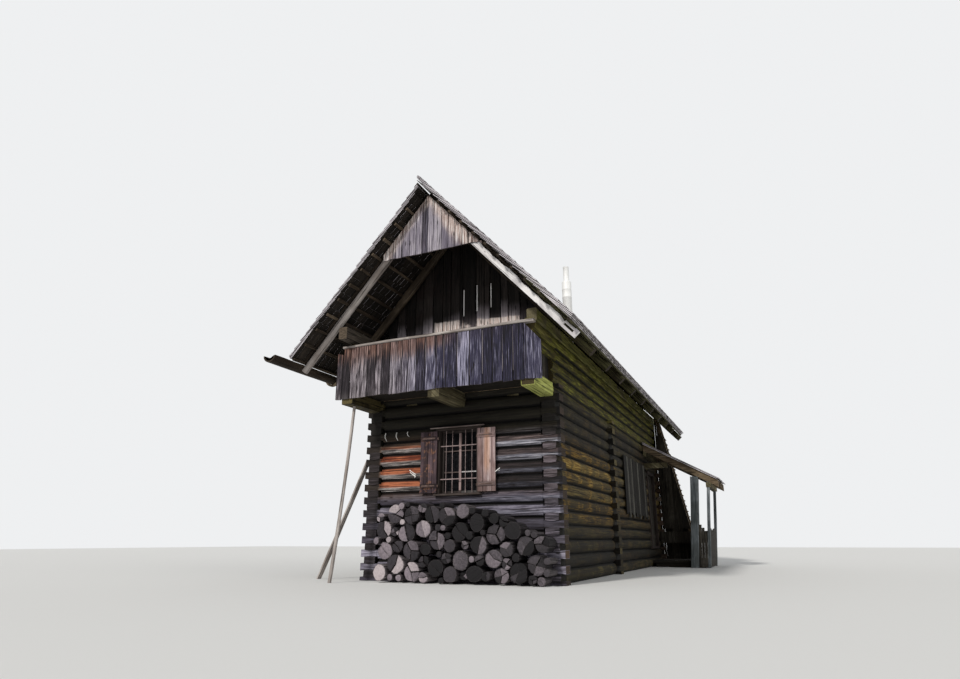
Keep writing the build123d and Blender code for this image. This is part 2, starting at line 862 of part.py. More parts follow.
ledger_x = side_face_x + porch_ledger_width
ledger_top = porch_z(ledger_x, porch_under) + porch_seat
porch_outer_top_x = porch_outer_x + porch_lean * (porch_z(porch_outer_x, porch_under) - porch_plate)
outer_plate_x = (porch_outer_top_x - porch_plate / 2, porch_outer_top_x + porch_plate / 2)
outer_plate_top = porch_z(outer_plate_x[1], porch_under) + porch_seat
slim_post_y = (porch_front_y + porch_post_setback, porch_rear_y - porch_post_setback - porch_slim_post)


def porch_rafters():
    """Rafters from the wall's ledger out over the outer plate."""
    step = (porch_length - porch_rafter_width) / (porch_rafter_count - 1)
    band = porch_band(porch_roof_depth + seat_gap, porch_under, side_face_x + seat_gap,
                      porch_reach - porch_verge)
    along = (porch_front_y - porch_verge, porch_rear_y + porch_verge)
    ledger = block((side_face_x, ledger_x + seat_gap), along, (0, ledger_top + seat_gap))
    plate = block((outer_plate_x[0] - seat_gap, outer_plate_x[1] + seat_gap), along,
                  (0, outer_plate_top + seat_gap))
    rafters = []
    for index in range(porch_rafter_count):
        y = porch_front_y + index * step
        rafters.append(lengthwise(band, y, y + porch_rafter_width) - ledger - plate)
    return rafters


def porch_beams():
    """Ledger on the wall, short log out of the wall under the front rafter, and outer plate."""
    ledger = block((side_face_x + seat_gap, ledger_x), (porch_front_y, porch_rear_y),
                   (ledger_top - porch_ledger_height, ledger_top))
    bracket_x = side_face_x + porch_bracket_reach
    bracket_top = porch_z(bracket_x, porch_under) - seat_gap
    bracket = block((side_face_x + seat_gap, bracket_x), (porch_front_y, porch_front_y + porch_bracket),
                    (bracket_top - porch_bracket, bracket_top))
    plate = block(outer_plate_x, (porch_front_y, porch_rear_y),
                  (outer_plate_top - porch_plate, outer_plate_top))
    return [ledger, bracket, plate]


def porch_posts():
    """Main post, cut to the front rafter's underside, and two slim posts under the outer plate."""
    half = porch_post / 2
    roof = lengthwise(porch_band(-4 * course, porch_under + seat_gap, side_face_x, porch_reach),
                      porch_front_y - porch_post, porch_front_y + 2 * porch_post)
    main = lengthwise(leaning(porch_post_x - half, porch_post_x + half, 0, porch_top_z),
                      porch_front_y, porch_front_y + porch_post) - roof
    half = porch_slim_post / 2
    face = leaning(porch_outer_x - half, porch_outer_x + half, 0, outer_plate_top - porch_plate - seat_gap)
    return [main] + [lengthwise(face, y, y + porch_slim_post) for y in slim_post_y]


def porch_front_parapet():
    """Three boards on two rails between the porch's front posts, each lower than the last."""
    x_start = porch_post_x + porch_post / 2 + seat_gap
    x_end = porch_outer_x - porch_slim_post / 2 - seat_gap
    y = slim_post_y[0] + board_gap
    step = (x_end - x_start) / porch_front_boards
    pieces = []
    for index in range(porch_front_boards):
        x = x_start + index * step
        face = leaning(x + board_gap / 2, x + step - board_gap / 2, porch_low,
                       porch_rail_top - porch_rail_fall * index)
        pieces.append(lengthwise(face, y, y + porch_board))
    for z in (porch_low + porch_ledger_height, porch_side_top - porch_ledger_height):
        rail = leaning(x_start, x_end, z, z + porch_rail_height)
        pieces.append(lengthwise(rail, y + porch_board, y + porch_board + porch_rail))
    return joined(pieces)


def porch_side_parapet():
    """Upright boards on two rails between the slim posts."""
    x = porch_outer_x
    y_start = slim_post_y[0] + porch_slim_post + seat_gap
    y_end = slim_post_y[1] - seat_gap
    step = (y_end - y_start) / porch_board_count
    pieces = []
    for index in range(porch_board_count):
        y = y_start + index * step
        face = leaning(x, x + porch_board, porch_low, porch_side_top + hung_uneven / 2 * math.cos(index))
        pieces.append(lengthwise(face, y + board_gap / 2, y + step - board_gap / 2))
    for z in (porch_low + porch_ledger_height, porch_side_top - porch_ledger_height):
        pieces.append(lengthwise(leaning(x - porch_rail, x, z, z + porch_rail_height), y_start, y_end))
    return joined(pieces)


def porch_rear_parapet():
    """Low band of boards on a rail across the porch's rear side."""
    x_start = side_face_x + seat_gap
    x_end = porch_outer_x - porch_slim_post / 2 - seat_gap
    step = (x_end - x_start) / porch_board_count
    y = slim_post_y[1] + board_gap
    pieces = []
    for index in range(porch_board_count):
        x = x_start + index * step
        pieces.append(block((x, x + step - board_gap), (y, y + porch_board), (porch_rear_low, porch_rear_top)))
    pieces.append(block((x_start, x_end), (y + porch_board, y + porch_board + porch_rail),
                        (porch_rear_top - porch_rail_height, porch_rear_top)))
    return joined(pieces)


def porch_deck_boards():
    """Deck of the porch on its sleepers."""
    return block((side_face_x + seat_gap, porch_outer_x - porch_rail - seat_gap),
                 (porch_front_y + porch_post + porch_sleeper / 4, slim_post_y[1] - porch_post_setback),
                 (porch_deck_top - porch_deck, porch_deck_top))


def porch_sleepers():
    """Sleepers on the ground under the porch's deck."""
    x = (side_face_x + porch_sleeper / 2, porch_outer_x - porch_sleeper)
    half = porch_sleeper / 2
    places = [porch_front_y + share * porch_length for share in porch_sleeper_shares]
    return [block(x, (y - half, y + half), (0, porch_deck_top - porch_deck - seat_gap)) for y in places]


# Raking screen behind the porch

screen_end_y = last_rafter_y + (rafter_width + screen_post) / 2
screen_lean = (screen_foot_x - screen_top_x) / screen_top_z


def screen_x(z, offset):
    """Distance from the middle of the screen's inner face at a height, plus an offset."""
    return screen_foot_x - z * screen_lean + offset


def screen_band(offset, depth, low, high):
    """Outline of a layer of the screen between two heights."""
    return outline((screen_x(low, offset), low), (screen_x(low, offset + depth), low),
                   (screen_x(high, offset + depth), high), (screen_x(high, offset), high))


def screen_frame():
    """Two raking posts up to the last rafters' undersides, with close battens across them."""
    roof = lengthwise(slope_band(-seat_gap, course, side_wall_x, eave_x),
                      screen_start_y - screen_post, screen_end_y + screen_post)
    band = screen_band(0, screen_post, 0, plate_top)
    frame = lengthwise(band, screen_start_y, screen_start_y + screen_post)
    frame += lengthwise(band, screen_end_y - screen_post, screen_end_y)
    frame -= roof
    for z in (2 * screen_low, screen_top_z - 2 * screen_low):
        frame += lengthwise(screen_band(0, screen_post / 2, z, z + screen_post), screen_start_y, screen_end_y)
    z = screen_low
    while z + screen_batten < screen_top_z:
        frame += lengthwise(screen_band(screen_post, screen_batten, z, z + screen_batten),
                            screen_start_y, screen_end_y)
        z += screen_batten_step
    return frame


def screen_boards():
    """Boards inside the raking posts, and upright boards that close both ends."""
    step = (screen_end_y - screen_start_y) / screen_board_count
    band = screen_band(-seat_gap - screen_board, screen_board, 0, screen_top_z)
    boards = [lengthwise(band, screen_start_y + i * step, screen_start_y + (i + 1) * step - board_gap)
              for i in range(screen_board_count)]
    inner = side_face_x + head_reach + seat_gap
    face = outline((inner, 0), (screen_x(0, screen_post), 0),
                   (screen_x(screen_top_z, screen_post), screen_top_z), (inner, screen_top_z))
    rear = lengthwise(face, screen_end_y + seat_gap, screen_end_y + seat_gap + screen_board)
    y = screen_start_y - seat_gap - screen_board
    front = lengthwise(face, y, y + screen_board)
    width = (screen_foot_x - inner) / screen_board_count
    for index in range(screen_board_count):
        hem = screen_hem + hung_uneven * math.cos(index * uneven_turn)
        front -= block((inner + index * width, inner + (index + 1) * width + screen_post),
                       (y - screen_board, y + 2 * screen_board), (-screen_hem, hem))
    return boards + [rear, front]


# Loose pieces

def firewood():
    """Stack of split logs along the foot of the front wall, lower towards its right end."""
    y_end = front_face_y - end_proud - seat_gap
    top = [(x, share * stack_top) for x, share in stack_line]
    face = outline((top[0][0], 0), *top, (top[-1][0], 0))
    return lengthwise(face, y_end - stack_depth, y_end)


def leaning_pole():
    """Pole from the ground up under the left bearer."""
    y = front_face_y - lean_pole_reach
    top_z = bearer_course * course - seat_gap
    foot = Pos(lean_pole_foot_x, y, 0) * Circle(lean_pole_diameter / 2)
    head = Pos(lean_pole_top_x, y, top_z) * Circle(lean_pole_diameter / 2)
    return loft([foot, head])


def leaning_plank():
    """Short plank from the ground up against the log heads at the left corner."""
    top_x = -(side_face_x + head_reach + seat_gap)
    foot_x = top_x - lean_plank_run
    face = outline((foot_x, 0), (foot_x - lean_plank, 0), (top_x - lean_plank, lean_plank_top),
                   (top_x, lean_plank_top))
    return lengthwise(face, -lean_plank_width / 2, lean_plank_width / 2)


save("front_wall", crossing_wall(0, [window_opening()] + [ceiling_beam(x, log_gap) for x in beam_places]))
save("cross_wall", crossing_wall(cross_wall_y, [doorway()] + [ceiling_beam(x, log_gap) for x in beam_places]))
save("rear_wall", crossing_wall(rear_wall_y, [ceiling_beam(x, log_gap) for x in beam_places]))
save("left_wall", side_wall(-side_wall_x))
save("right_wall", side_wall(side_wall_x, [door_opening()]))
save("wall_plates", [wall_plate(-side_wall_x, verge_rafter_y), wall_plate(side_wall_x, plate_end_y)])
save("floor_joists", floor_joists())
save("ground_floor", ground_floor())
save("ceiling_beams", [ceiling_beam(x, 0) for x in beam_places])
save("loft_floor", [loft_floor()])

plain_rafter = rafter(0)
rafters = [Pos(0, verge_rafter_y + (i + 1) * rafter_step, 0) * plain_rafter for i in range(rafter_count)]
rafters.append(Pos(0, last_rafter_y, 0) * plain_rafter)
hole = pipe_hole()
right_battens = battens()
save("rafters_right", rafters)
save("rafters_left", [left(piece) for piece in rafters])
save("verge_rafter_right", [verge_plank_rafter()])
save("verge_rafter_left", [left(round_rafter(verge_rafter_y))])
save("battens_right", [piece - hole for piece in right_battens])
save("battens_left", [left(piece) for piece in right_battens])
save("roof_right", [shingle_slope(-ridge_overshoot) - hole])
save("roof_left", [left(shingle_slope(shingle_depth / (2 * math.sin(pitch)) + seat_gap))])
save("gable_triangle", [gable_triangle()])
save("loft_front", [loft_front()])
save("rear_gable", [rear_gable()])
save("chimney_pipe", [chimney()])
save("gutter", [gutter()])
save("gutter_hooks", gutter_hooks())

save("balcony_deck", [balcony_deck()])
save("parapet", parapet())
save("handrail", [handrail()])
side_boards = balcony_side()
save("balcony_sides", side_boards + [left(piece) for piece in side_boards])

save("window_casing", [window_casing()])
save("window_sill", [window_sill()])
save("window_drip_board", [drip_over_window()])
save("window_sash", [window_sash()])
save("window_glass", [window_glass()])
right_shutter = shutter()
pins = shutter_pins()
save("shutter_right", [right_shutter])
save("shutter_left", [about_window(right_shutter)])
save("shutter_pins", pins + [about_window(pin) for pin in pins])

save("door_frame", [door_frame()])
save("door_leaf", [door_leaf()])
save("hung_boards", hung_boards())
save("porch_roof", [lengthwise(porch_band(0, porch_roof_depth, side_face_x + seat_gap, porch_reach),
                               porch_front_y - porch_verge, porch_rear_y + porch_verge)])
save("porch_rafters", porch_rafters())
save("porch_beams", porch_beams())
save("porch_posts", porch_posts())
save("porch_parapet", [porch_front_parapet(), porch_side_parapet(), porch_rear_parapet()])
save("porch_deck", [porch_deck_boards()] + porch_sleepers())
save("screen_frame", [screen_frame()])
save("screen_boards", screen_boards())
save("firewood", [firewood()])
save("leaning_poles", [leaning_pole(), leaning_plank()])
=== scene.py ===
import bpy
import math
import numpy as np
from mathutils import Matrix, Vector


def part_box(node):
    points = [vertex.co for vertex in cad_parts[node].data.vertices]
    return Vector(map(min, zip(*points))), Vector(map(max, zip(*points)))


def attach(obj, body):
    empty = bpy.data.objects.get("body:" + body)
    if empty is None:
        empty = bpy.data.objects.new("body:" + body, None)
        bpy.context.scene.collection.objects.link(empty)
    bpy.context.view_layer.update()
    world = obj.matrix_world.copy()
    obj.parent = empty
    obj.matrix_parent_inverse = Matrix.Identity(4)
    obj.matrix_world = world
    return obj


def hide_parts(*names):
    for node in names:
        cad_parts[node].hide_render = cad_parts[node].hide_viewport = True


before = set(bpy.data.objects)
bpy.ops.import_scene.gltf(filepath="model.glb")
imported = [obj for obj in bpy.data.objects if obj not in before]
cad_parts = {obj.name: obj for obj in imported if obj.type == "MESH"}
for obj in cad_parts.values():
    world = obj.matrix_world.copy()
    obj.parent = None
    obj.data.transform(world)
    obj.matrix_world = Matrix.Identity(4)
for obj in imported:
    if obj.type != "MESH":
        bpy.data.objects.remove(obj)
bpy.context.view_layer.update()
print("frame loaded:", len(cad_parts), "parts")

# Sizes in metres, X right along the front, Y to the rear, Z up
cabin = {
    "course": .224, "logRadius": .123, "sideX": 1.677, "rearY": 9.35, "crossY": 3.7,
    "front": -.123, "rear": 9.473, "vergeY": -1.601, "roofRearY": 9.873,
    "parapetBack": -1.053, "plateTop": 4.256, "plateOuter": 1.767,
    "pitch": math.radians(48.2), "rafterEnd": 2.494,
}
sine, cosine, tangent = math.sin(cabin["pitch"]), math.cos(cabin["pitch"]), math.tan(cabin["pitch"])
alongX, alongY = (1, 0, 0), (0, 1, 0)


class Field:
    # a shader value that takes part in ordinary arithmetic
    def __init__(self, finish, socket):
        self.finish, self.socket = finish, socket

    def maths(self, operation, *others):
        return self.finish.maths(operation, self, *others)

    def __add__(self, other):
        return self.maths("ADD", other)

    def __mul__(self, other):
        return self.maths("MULTIPLY", other)

    def __sub__(self, other):
        return self.maths("SUBTRACT", other)

    def __rsub__(self, other):
        return self.finish.maths("SUBTRACT", other, self)

    def __abs__(self):
        return self.maths("ABSOLUTE")

    __radd__ = __add__
    __rmul__ = __mul__


class Finish:
    # one material, or the world, and the ways to build its nodes
    def __init__(self, name, world=False):
        self.material = (bpy.data.worlds if world else bpy.data.materials).new(name)
        self.material.use_nodes = True
        self.tree = self.material.node_tree
        self.tree.nodes.clear()

    def node(self, kind, settings=None, sockets=None, output=0):
        made = self.tree.nodes.new(kind)
        for key, value in (settings or {}).items():
            setattr(made, key, value)
        for key, value in (sockets or {}).items():
            if isinstance(value, Field):
                self.tree.links.new(value.socket, made.inputs[key])
            else:
                made.inputs[key].default_value = value
        return Field(self, made.outputs[output]) if made.outputs else None

    def maths(self, operation, *values):
        return self.node("ShaderNodeMath", {"operation": operation}, dict(enumerate(values)))

    def spot(self):
        return self.node("ShaderNodeTexCoord", output=3)

    def axes(self, vector):
        outputs = self.node("ShaderNodeSeparateXYZ", sockets={0: vector}).socket.node.outputs
        return [Field(self, outputs[i]) for i in range(3)]

    def vector(self, x, y, z=0.0):
        return self.node("ShaderNodeCombineXYZ", sockets={0: x, 1: y, 2: z})

    def attribute(self, name):
        return self.node("ShaderNodeAttribute", {"attribute_name": name}, output=2)

    def noise(self, vector, scale=1.0, detail=3.0, rough=.55, twist=0.0):
        return self.node("ShaderNodeTexNoise", sockets={
            "Vector": vector, "Scale": scale, "Detail": detail, "Roughness": rough, "Distortion": twist})

    def stretch(self, vector, x, y, z=1.0):
        return self.node("ShaderNodeVectorMath", {"operation": "MULTIPLY"}, {0: vector, 1: (x, y, z)})

    def shift(self, vector, offset):
        return self.node("ShaderNodeVectorMath", {"operation": "ADD"}, {0: vector, 1: offset})

    def smooth(self, value, low, high):
        # rises smoothly from 0 at low to 1 at high
        return self.node("ShaderNodeMapRange", {"interpolation_type": "SMOOTHSTEP"},
                         {0: value, 1: low, 2: high, 3: 0.0, 4: 1.0})

    def fall(self, value, low, high):
        # falls smoothly from 1 at low to 0 at high
        return 1 - self.smooth(value, low, high)

    def band(self, value, start, full, fading, end):
        # rises between start and full, and falls between fading and end
        return self.smooth(value, start, full) * self.fall(value, fading, end)

    def blend(self, share, first, second):
        first, second = [value if isinstance(value, Field) else (*value, 1) for value in (first, second)]
        return self.node("ShaderNodeMix", {"data_type": "RGBA"}, {0: share, 6: first, 7: second}, 2)

    def ramp(self, value, *stops):
        field = self.node("ShaderNodeValToRGB", sockets={0: value})
        elements = field.socket.node.color_ramp.elements
        while len(elements) < len(stops):
            elements.new(.5)
        for element, (where, colour) in zip(elements, stops):
            element.position = where
            element.color = (*colour, 1)
        return field

    def wash(self, share, over, *stops):
        # lays a share of a colour, or of the ramp that a value follows, over the colour so far
        self.colour = self.blend(share, self.colour, self.ramp(over, *stops) if stops else over)

    def bump(self, height, distance, strength=1.0):
        return self.node("ShaderNodeBump", sockets={
            "Height": height, "Distance": distance, "Strength": strength})

    def close(self, **sockets):
        names = {"colour": "Base Color", "rough": "Roughness", "metal": "Metallic", "normal": "Normal",
                 "specular": "Specular IOR Level"}
        body = self.node("ShaderNodeBsdfPrincipled", sockets={names[key]: sockets[key] for key in sockets})
        self.node("ShaderNodeOutputMaterial", sockets={0: body})
        return self.material


def shade(colour, share):
    return tuple(c * share for c in colour)


def wood(dark, mid, pale, patch, patchShare=.5, fibre=60, crackShare=.58, knots=.10, toneShare=.42):
    return {"dark": dark, "mid": mid, "pale": pale, "patch": patch, "patchShare": patchShare, "fibre": fibre,
            "crackShare": crackShare, "knots": knots, "toneShare": toneShare}


# Colours of the woods from dark to pale, the colour of the weather patches, and how dense the marks are
woods = {
    "logs": wood((.016, .010, .008), (.085, .058, .042), (.34, .27, .22), (.12, .055, .028), crackShare=.57,
                 knots=.11),
    "sideLogs": wood((.007, .005, .003), (.040, .030, .010), (.20, .16, .062), (.10, .055, .015),
                     patchShare=.52, crackShare=.57, knots=.11),
    "greyBoards": wood((.010, .008, .010), (.082, .064, .068), (.42, .37, .37), (.11, .055, .045),
                       patchShare=.55, fibre=75, knots=.15),
    # the loft boards' near black colours are painted deep shade under the roof
    "loftBoards": wood((.0022, .0018, .0018), (.010, .008, .007), (.050, .040, .036), (.022, .010, .008),
                       patchShare=.55, fibre=75, knots=.13),
    "hungBoards": wood((.006, .005, .004), (.028, .024, .018), (.15, .135, .11), (.028, .020, .012),
                       fibre=75, knots=.13),
    "paleWood": wood((.16, .15, .15), (.80, .77, .77), (.97, .96, .96), (.50, .46, .50), crackShare=.60,
                     knots=.06),
    "railWood": wood((.10, .085, .075), (.36, .32, .30), (.66, .61, .57), (.28, .22, .19), knots=.06),
    "postWood": wood((.034, .038, .040), (.145, .165, .175), (.42, .44, .46), (.09, .10, .09),
                     crackShare=.60, knots=.06),
    "rafterWood": wood((.025, .018, .010), (.15, .108, .066), (.40, .32, .22), (.10, .06, .03)),
    "darkRafters": wood((.006, .004, .003), (.040, .028, .018), (.17, .13, .09), (.025, .015, .010),
                        crackShare=.60),
    "beams": wood((.012, .010, .006), (.085, .070, .036), (.34, .30, .18), (.06, .048, .02)),
    "shingles": wood((.014, .012, .012), (.105, .095, .088), (.44, .41, .39), (.05, .05, .03),
                     patchShare=.57, fibre=80, knots=.02, toneShare=.24),
    "floorWood": wood((.07, .045, .025), (.25, .17, .10), (.42, .32, .21), (.18, .11, .06), fibre=70,
                      crackShare=.62),
    "joinery": wood((.008, .006, .005), (.034, .025, .022), (.14, .11, .10), (.03, .02, .015), fibre=80,
                    crackShare=.62, knots=.06),
    "sashWood": wood((.03, .020, .018), (.14, .105, .095), (.42, .36, .34), (.10, .07, .06), fibre=80,
                     crackShare=.64, knots=.04),
    "brownShutter": wood((.008, .005, .005), (.040, .024, .027), (.17, .115, .13), (.05, .035, .045),
                         fibre=90, crackShare=.64, knots=.13),
    "pinkShutter": wood((.045, .026, .022), (.32, .225, .220), (.78, .67, .67), (.18, .095, .075),
                        patchShare=.55, fibre=90, crackShare=.64, knots=.13),
    "firewood": wood((.006, .005, .005), (.050, .042, .046), (.34, .30, .31), (.22, .16, .15),
                     patchShare=.68, crackShare=.57, knots=.05),
}
grainMarks = {"fibre": 2.5, "streak": (.8, 11), "crack": (1.1, 34), "knot": (2.6, 8.5), "weather": 1.4,
              "ring": 900, "ringWander": 9, "bump": .004}


def agedWood(kind, name=None, grain=None, region=None, endGrain=1.0, rim=.5, ends=None):
    # fibres and broad streaks run along the grain (noise stretched along it), drying cracks are thin dark
    # lines, knots are the middles of stretched cells, and weather patches follow the place on the cabin.
    # A region lays its own washes over that; cut ends get year rings (the sine of the distance from the pith)
    # and splits.
    look, marks = woods[kind], grainMarks
    f = Finish(name or kind)
    f.at = f.spot()
    f.x, f.y, f.z = f.axes(f.at)
    if grain is None:
        f.tone, f.lift, cut = f.attribute("tone"), f.attribute("lift"), f.attribute("cut")
        place = f.node("ShaderNodeUVMap", {"uv_map": "place"})
        at = f.shift(place, f.vector(f.tone * 37, f.tone * 91))
    else:
        along, across, over = {"x": (f.x, f.y, f.z), "y": (f.y, f.x, f.z), "z": (f.z, f.x, f.y)}[grain]
        board = (across * 5).maths("FLOOR")
        f.tone = f.node("ShaderNodeTexWhiteNoise", {"noise_dimensions": "1D"}, {"W": board})
        at = f.shift(f.vector(along, across + over), f.vector(f.tone * 37, f.tone * 9))
    f.fibre = f.noise(f.stretch(at, marks["fibre"], look["fibre"]), 1, 4, .65)
    streak = f.noise(f.stretch(at, *marks["streak"]), 1, 3, .6, .4)
    crack = f.noise(f.stretch(at, *marks["crack"]), 1, 3, .5)
    crack = f.smooth(crack, look["crackShare"], look["crackShare"] + .05)
    cells = f.node("ShaderNodeTexVoronoi", sockets={"Vector": f.stretch(at, *marks["knot"]), "Scale": 1.0})
    knot = f.fall(cells, look["knots"] * .5, look["knots"] + .04)
    f.weather = f.noise(f.at, marks["weather"], 4, .6, .3)
    grey = f.fibre * .75 + streak * .95 + f.tone * look["toneShare"] - .37 - look["toneShare"] / 2
    f.colour = f.ramp(grey, (.10, look["dark"]), (.46, look["mid"]), (.86, look["pale"]))
    patch = f.smooth(f.weather + streak * .25, look["patchShare"] + .06, look["patchShare"] + .24)
    f.wash(patch * .65, f.blend(f.fibre, look["dark"], look["patch"]))
    if region:
        region(f)
    f.wash(crack * .8, shade(look["dark"], .5))
    f.wash(knot * .8, shade(look["dark"], .7))
    height = f.fibre * .5 + streak * .3 - crack * .9 - knot * .2
    if grain is None:
        flat = f.node("ShaderNodeVectorMath", {"operation": "LENGTH"}, {0: place}, 1)
        ring = (flat * marks["ring"] + f.noise(place, 14, 2) * marks["ringWander"]).maths("SINE")
        split = f.smooth(f.noise(f.shift(place, f.vector(f.tone * 7, f.tone * 3)), 18, 4, .7), .60, .66)
        side, f.colour = f.colour, f.ramp(ring * .22 + f.tone * .5 + .25, (0, shade(look["dark"], 1.1)),
                                          (.55, look["mid"]), (1, look["pale"]))
        f.wash(split * .7, look["dark"])
        f.wash(f.smooth(flat, rim * .8, rim), look["dark"])
        if ends:
            ends(f)
        f.colour = f.blend(cut * endGrain, side, f.colour)
    return f.close(colour=f.colour, rough=f.smooth(f.fibre, 0, 1) * .18 + .74,
                   normal=f.bump(height, marks["bump"], .8), specular=.25)


def frontLogRegion(f):
    # brick red above and bleached grey below on each log of the lower left, partly painted sunlight on that
    # band and painted shade on each log's top; dark brown and bluish grey to the right, partly painted tree
    # shade; bleached foot courses; painted shade under the balcony, at the log heads and in the joints
    wall = f.fall(abs(f.x), 1.53, 1.57)
    band = f.band(f.z, 1.43, 1.47, 2.20, 2.30) * wall
    leftPart = f.fall(f.x + f.weather * .3, -.30, -.05)
    upper = f.smooth(f.lift + f.fibre * .5 + f.weather * .4, .26, .52)
    burnt = f.ramp(f.fibre + f.weather * .6 + f.tone * .25, (.56, (.012, .006, .005)),
                   (.82, (.15, .030, .013)), (1, (.43, .14, .065)))
    bleached = f.ramp(f.fibre * .9 + f.weather * .4, (.54, (.012, .010, .010)), (.68, (.20, .18, .175)),
                      (.86, (.88, .83, .80)))
    # painted sunlight across the band over the logs' own burnt red and bleached grey; each log's darker top
    # is partly painted shade
    f.wash(band * leftPart * .97, f.blend(upper, bleached, burnt))
    # painted tree shade: the bluish grey to the right, over the logs' own dark brown
    rightPart = f.smooth(f.x + f.weather * .3, .20, .40) * f.band(f.z, 1.02, 1.10, 2.30, 2.50)
    reddish = f.ramp(f.fibre * .9 + f.tone * .4, (.46, (.006, .005, .006)), (.67, (.048, .036, .038)),
                     (.92, (.36, .26, .25)))
    bluish = f.ramp(f.fibre * .9 + f.tone * .4, (.46, (.018, .018, .025)), (.62, (.15, .15, .185)),
                    (.84, (.72, .71, .79)))
    f.wash(rightPart * .95, f.blend(upper, bluish, reddish))
    low = f.fall(f.z + f.weather * .2, 1.38, 1.62) * (1 - leftPart * f.smooth(f.z, 1.43, 1.47))
    foot = f.ramp(f.fibre * .8 + f.tone * .4, (.44, (.010, .010, .015)), (.66, (.080, .075, .105)),
                  (.92, (.48, .46, .58)))
    f.wash(low * .85, foot)
    # painted shade under the balcony: the top courses near black
    gloom = f.smooth(f.z + f.weather * .2, 2.36, 2.62)
    f.wash(gloom * .95, f.fibre, (.35, (.004, .004, .003)), (.62, (.016, .015, .009)),
           (.8, (.048, .044, .028)))
    # painted shade on and between the log heads at both corners
    leftHeadShade = f.fall(f.x, -1.60, -1.55) * f.smooth(f.z + f.weather * .3, 1.0, 1.3)
    f.wash(leftHeadShade * .85, (.010, .008, .007))
    rightHeadShade = f.smooth(f.x, 1.80, 1.83) * f.smooth(f.z, .9, 1.2)
    f.wash(rightHeadShade * .7, (.007, .006, .008))
    # painted shade in the grooves where the logs meet
    joint = f.smooth(abs(f.lift), .60, .76) * wall
    f.wash(joint * .95, (.003, .0026, .0025))


def headEnds(f):
    # the heads' end faces are orange brown on the sunny side, some nearly black
    grain = f.noise(f.stretch(f.at, 30, 6, 30), 1, 4, .6)
    f.wash(.8, grain * .6 + f.tone * .5, (.36, (.004, .003, .002)), (.66, (.026, .014, .007)),
           (1, (.15, .08, .035)))


def cornerEnds(f):
    # the side logs' ends that show in the front corners take the grey of the necks beside them, with painted
    # shade at the left corner and under the balcony
    side = f.colour
    grain = f.noise(f.stretch(f.at, 3, 3, 46), 1, 5, .65)
    f.colour = f.ramp(grain, (.38, (.012, .011, .014)), (.54, (.070, .060, .072)), (.74, (.28, .25, .31)))
    f.wash(f.smooth(f.z, 1.2, 1.6) * .5, grain, (.38, (.014, .011, .010)), (.62, (.11, .080, .076)))
    # painted shade at the left corner and under the balcony
    f.wash(f.fall(f.x, -1.6, -1.5) * .7, (.012, .009, .008))
    f.wash(f.smooth(f.z, 2.1, 2.5) * .9, (.009, .008, .006))
    shown = f.fall(f.y, -.124, -.118) * f.smooth(f.y, -.2, -.14) * f.fall(f.z, 2.9, 3.0)
    f.colour = f.blend(shown, side, f.colour)


def sideLogRegion(f):
    # on the right side, olive upper courses and orange and olive lower ones before the cross wall, partly
    # the logs' own colour and partly painted dapples of sunlight and green bounce light; painted shade, near
    # black, on the courses between and below; painted sunlight on the bearers' ends over the balcony; painted
    # shade in the joints and between the heads of the crossing logs
    dapple = f.smooth(f.noise(f.at, 2.4, 3, .6, .6), .44, .58)
    high = f.ramp(f.fibre + f.tone * .15, (.44, (.010, .010, .002)), (.61, (.125, .120, .013)),
                  (.84, (.48, .48, .09)))
    sunny = f.smooth(f.x, -.5, .5)
    # painted light: dapples of sunlight and green bounce light on the right side, over the logs' own olive
    # and orange
    f.wash(f.smooth(f.z, 2.9, 3.25) * (dapple * .55 + .35) * sunny, high)
    lower = f.band(f.z, .85, 1.15, 2.1, 2.45) * (1 - f.smooth(f.y, 3.3, 4.2) * .75)
    warm = f.ramp(f.fibre + f.tone * .2, (.44, (.018, .010, .002)), (.62, (.20, .115, .018)),
                  (.84, (.58, .42, .13)))
    f.wash(lower * (dapple * .75 + .15) * sunny, warm)
    # painted shade: near black on the courses between and below the dapples
    gloom = f.band(f.z, 2.1, 2.45, 2.9, 3.2) + f.fall(f.z + f.weather * .3, .8, 1.2)
    f.wash(gloom * (1 - dapple * .5) * .8, (.006, .005, .003))
    # painted sunlight on the bearers' ends out over the balcony
    bright = f.band(f.z, 2.85, 2.95, 3.15, 3.2) * f.fall(f.y, -.20, -.12) * f.smooth(f.x, 1, 1.2)
    f.wash(bright * .85, f.fibre + f.weather * .3, (.45, (.12, .13, .025)), (.7, (.56, .60, .16)),
           (.95, (.80, .84, .36)))
    # painted shade in the grooves where the logs meet
    joint = f.smooth(abs(f.lift), .55, .76)
    f.wash(joint * .95 * f.smooth(f.y, .12, .16), (.003, .003, .002))
    # painted shade on the side logs between the heads of the crossing logs
    first, second = abs(f.y), abs(f.y - cabin["crossY"])
    headGapShade = (2 - f.smooth(first, .14, .19) - f.smooth(second, .14, .19)) * f.fall(f.z, 2.9, 3.0)
    f.wash(headGapShade * .85, (.004, .0035, .003))
    cornerEnds(f)


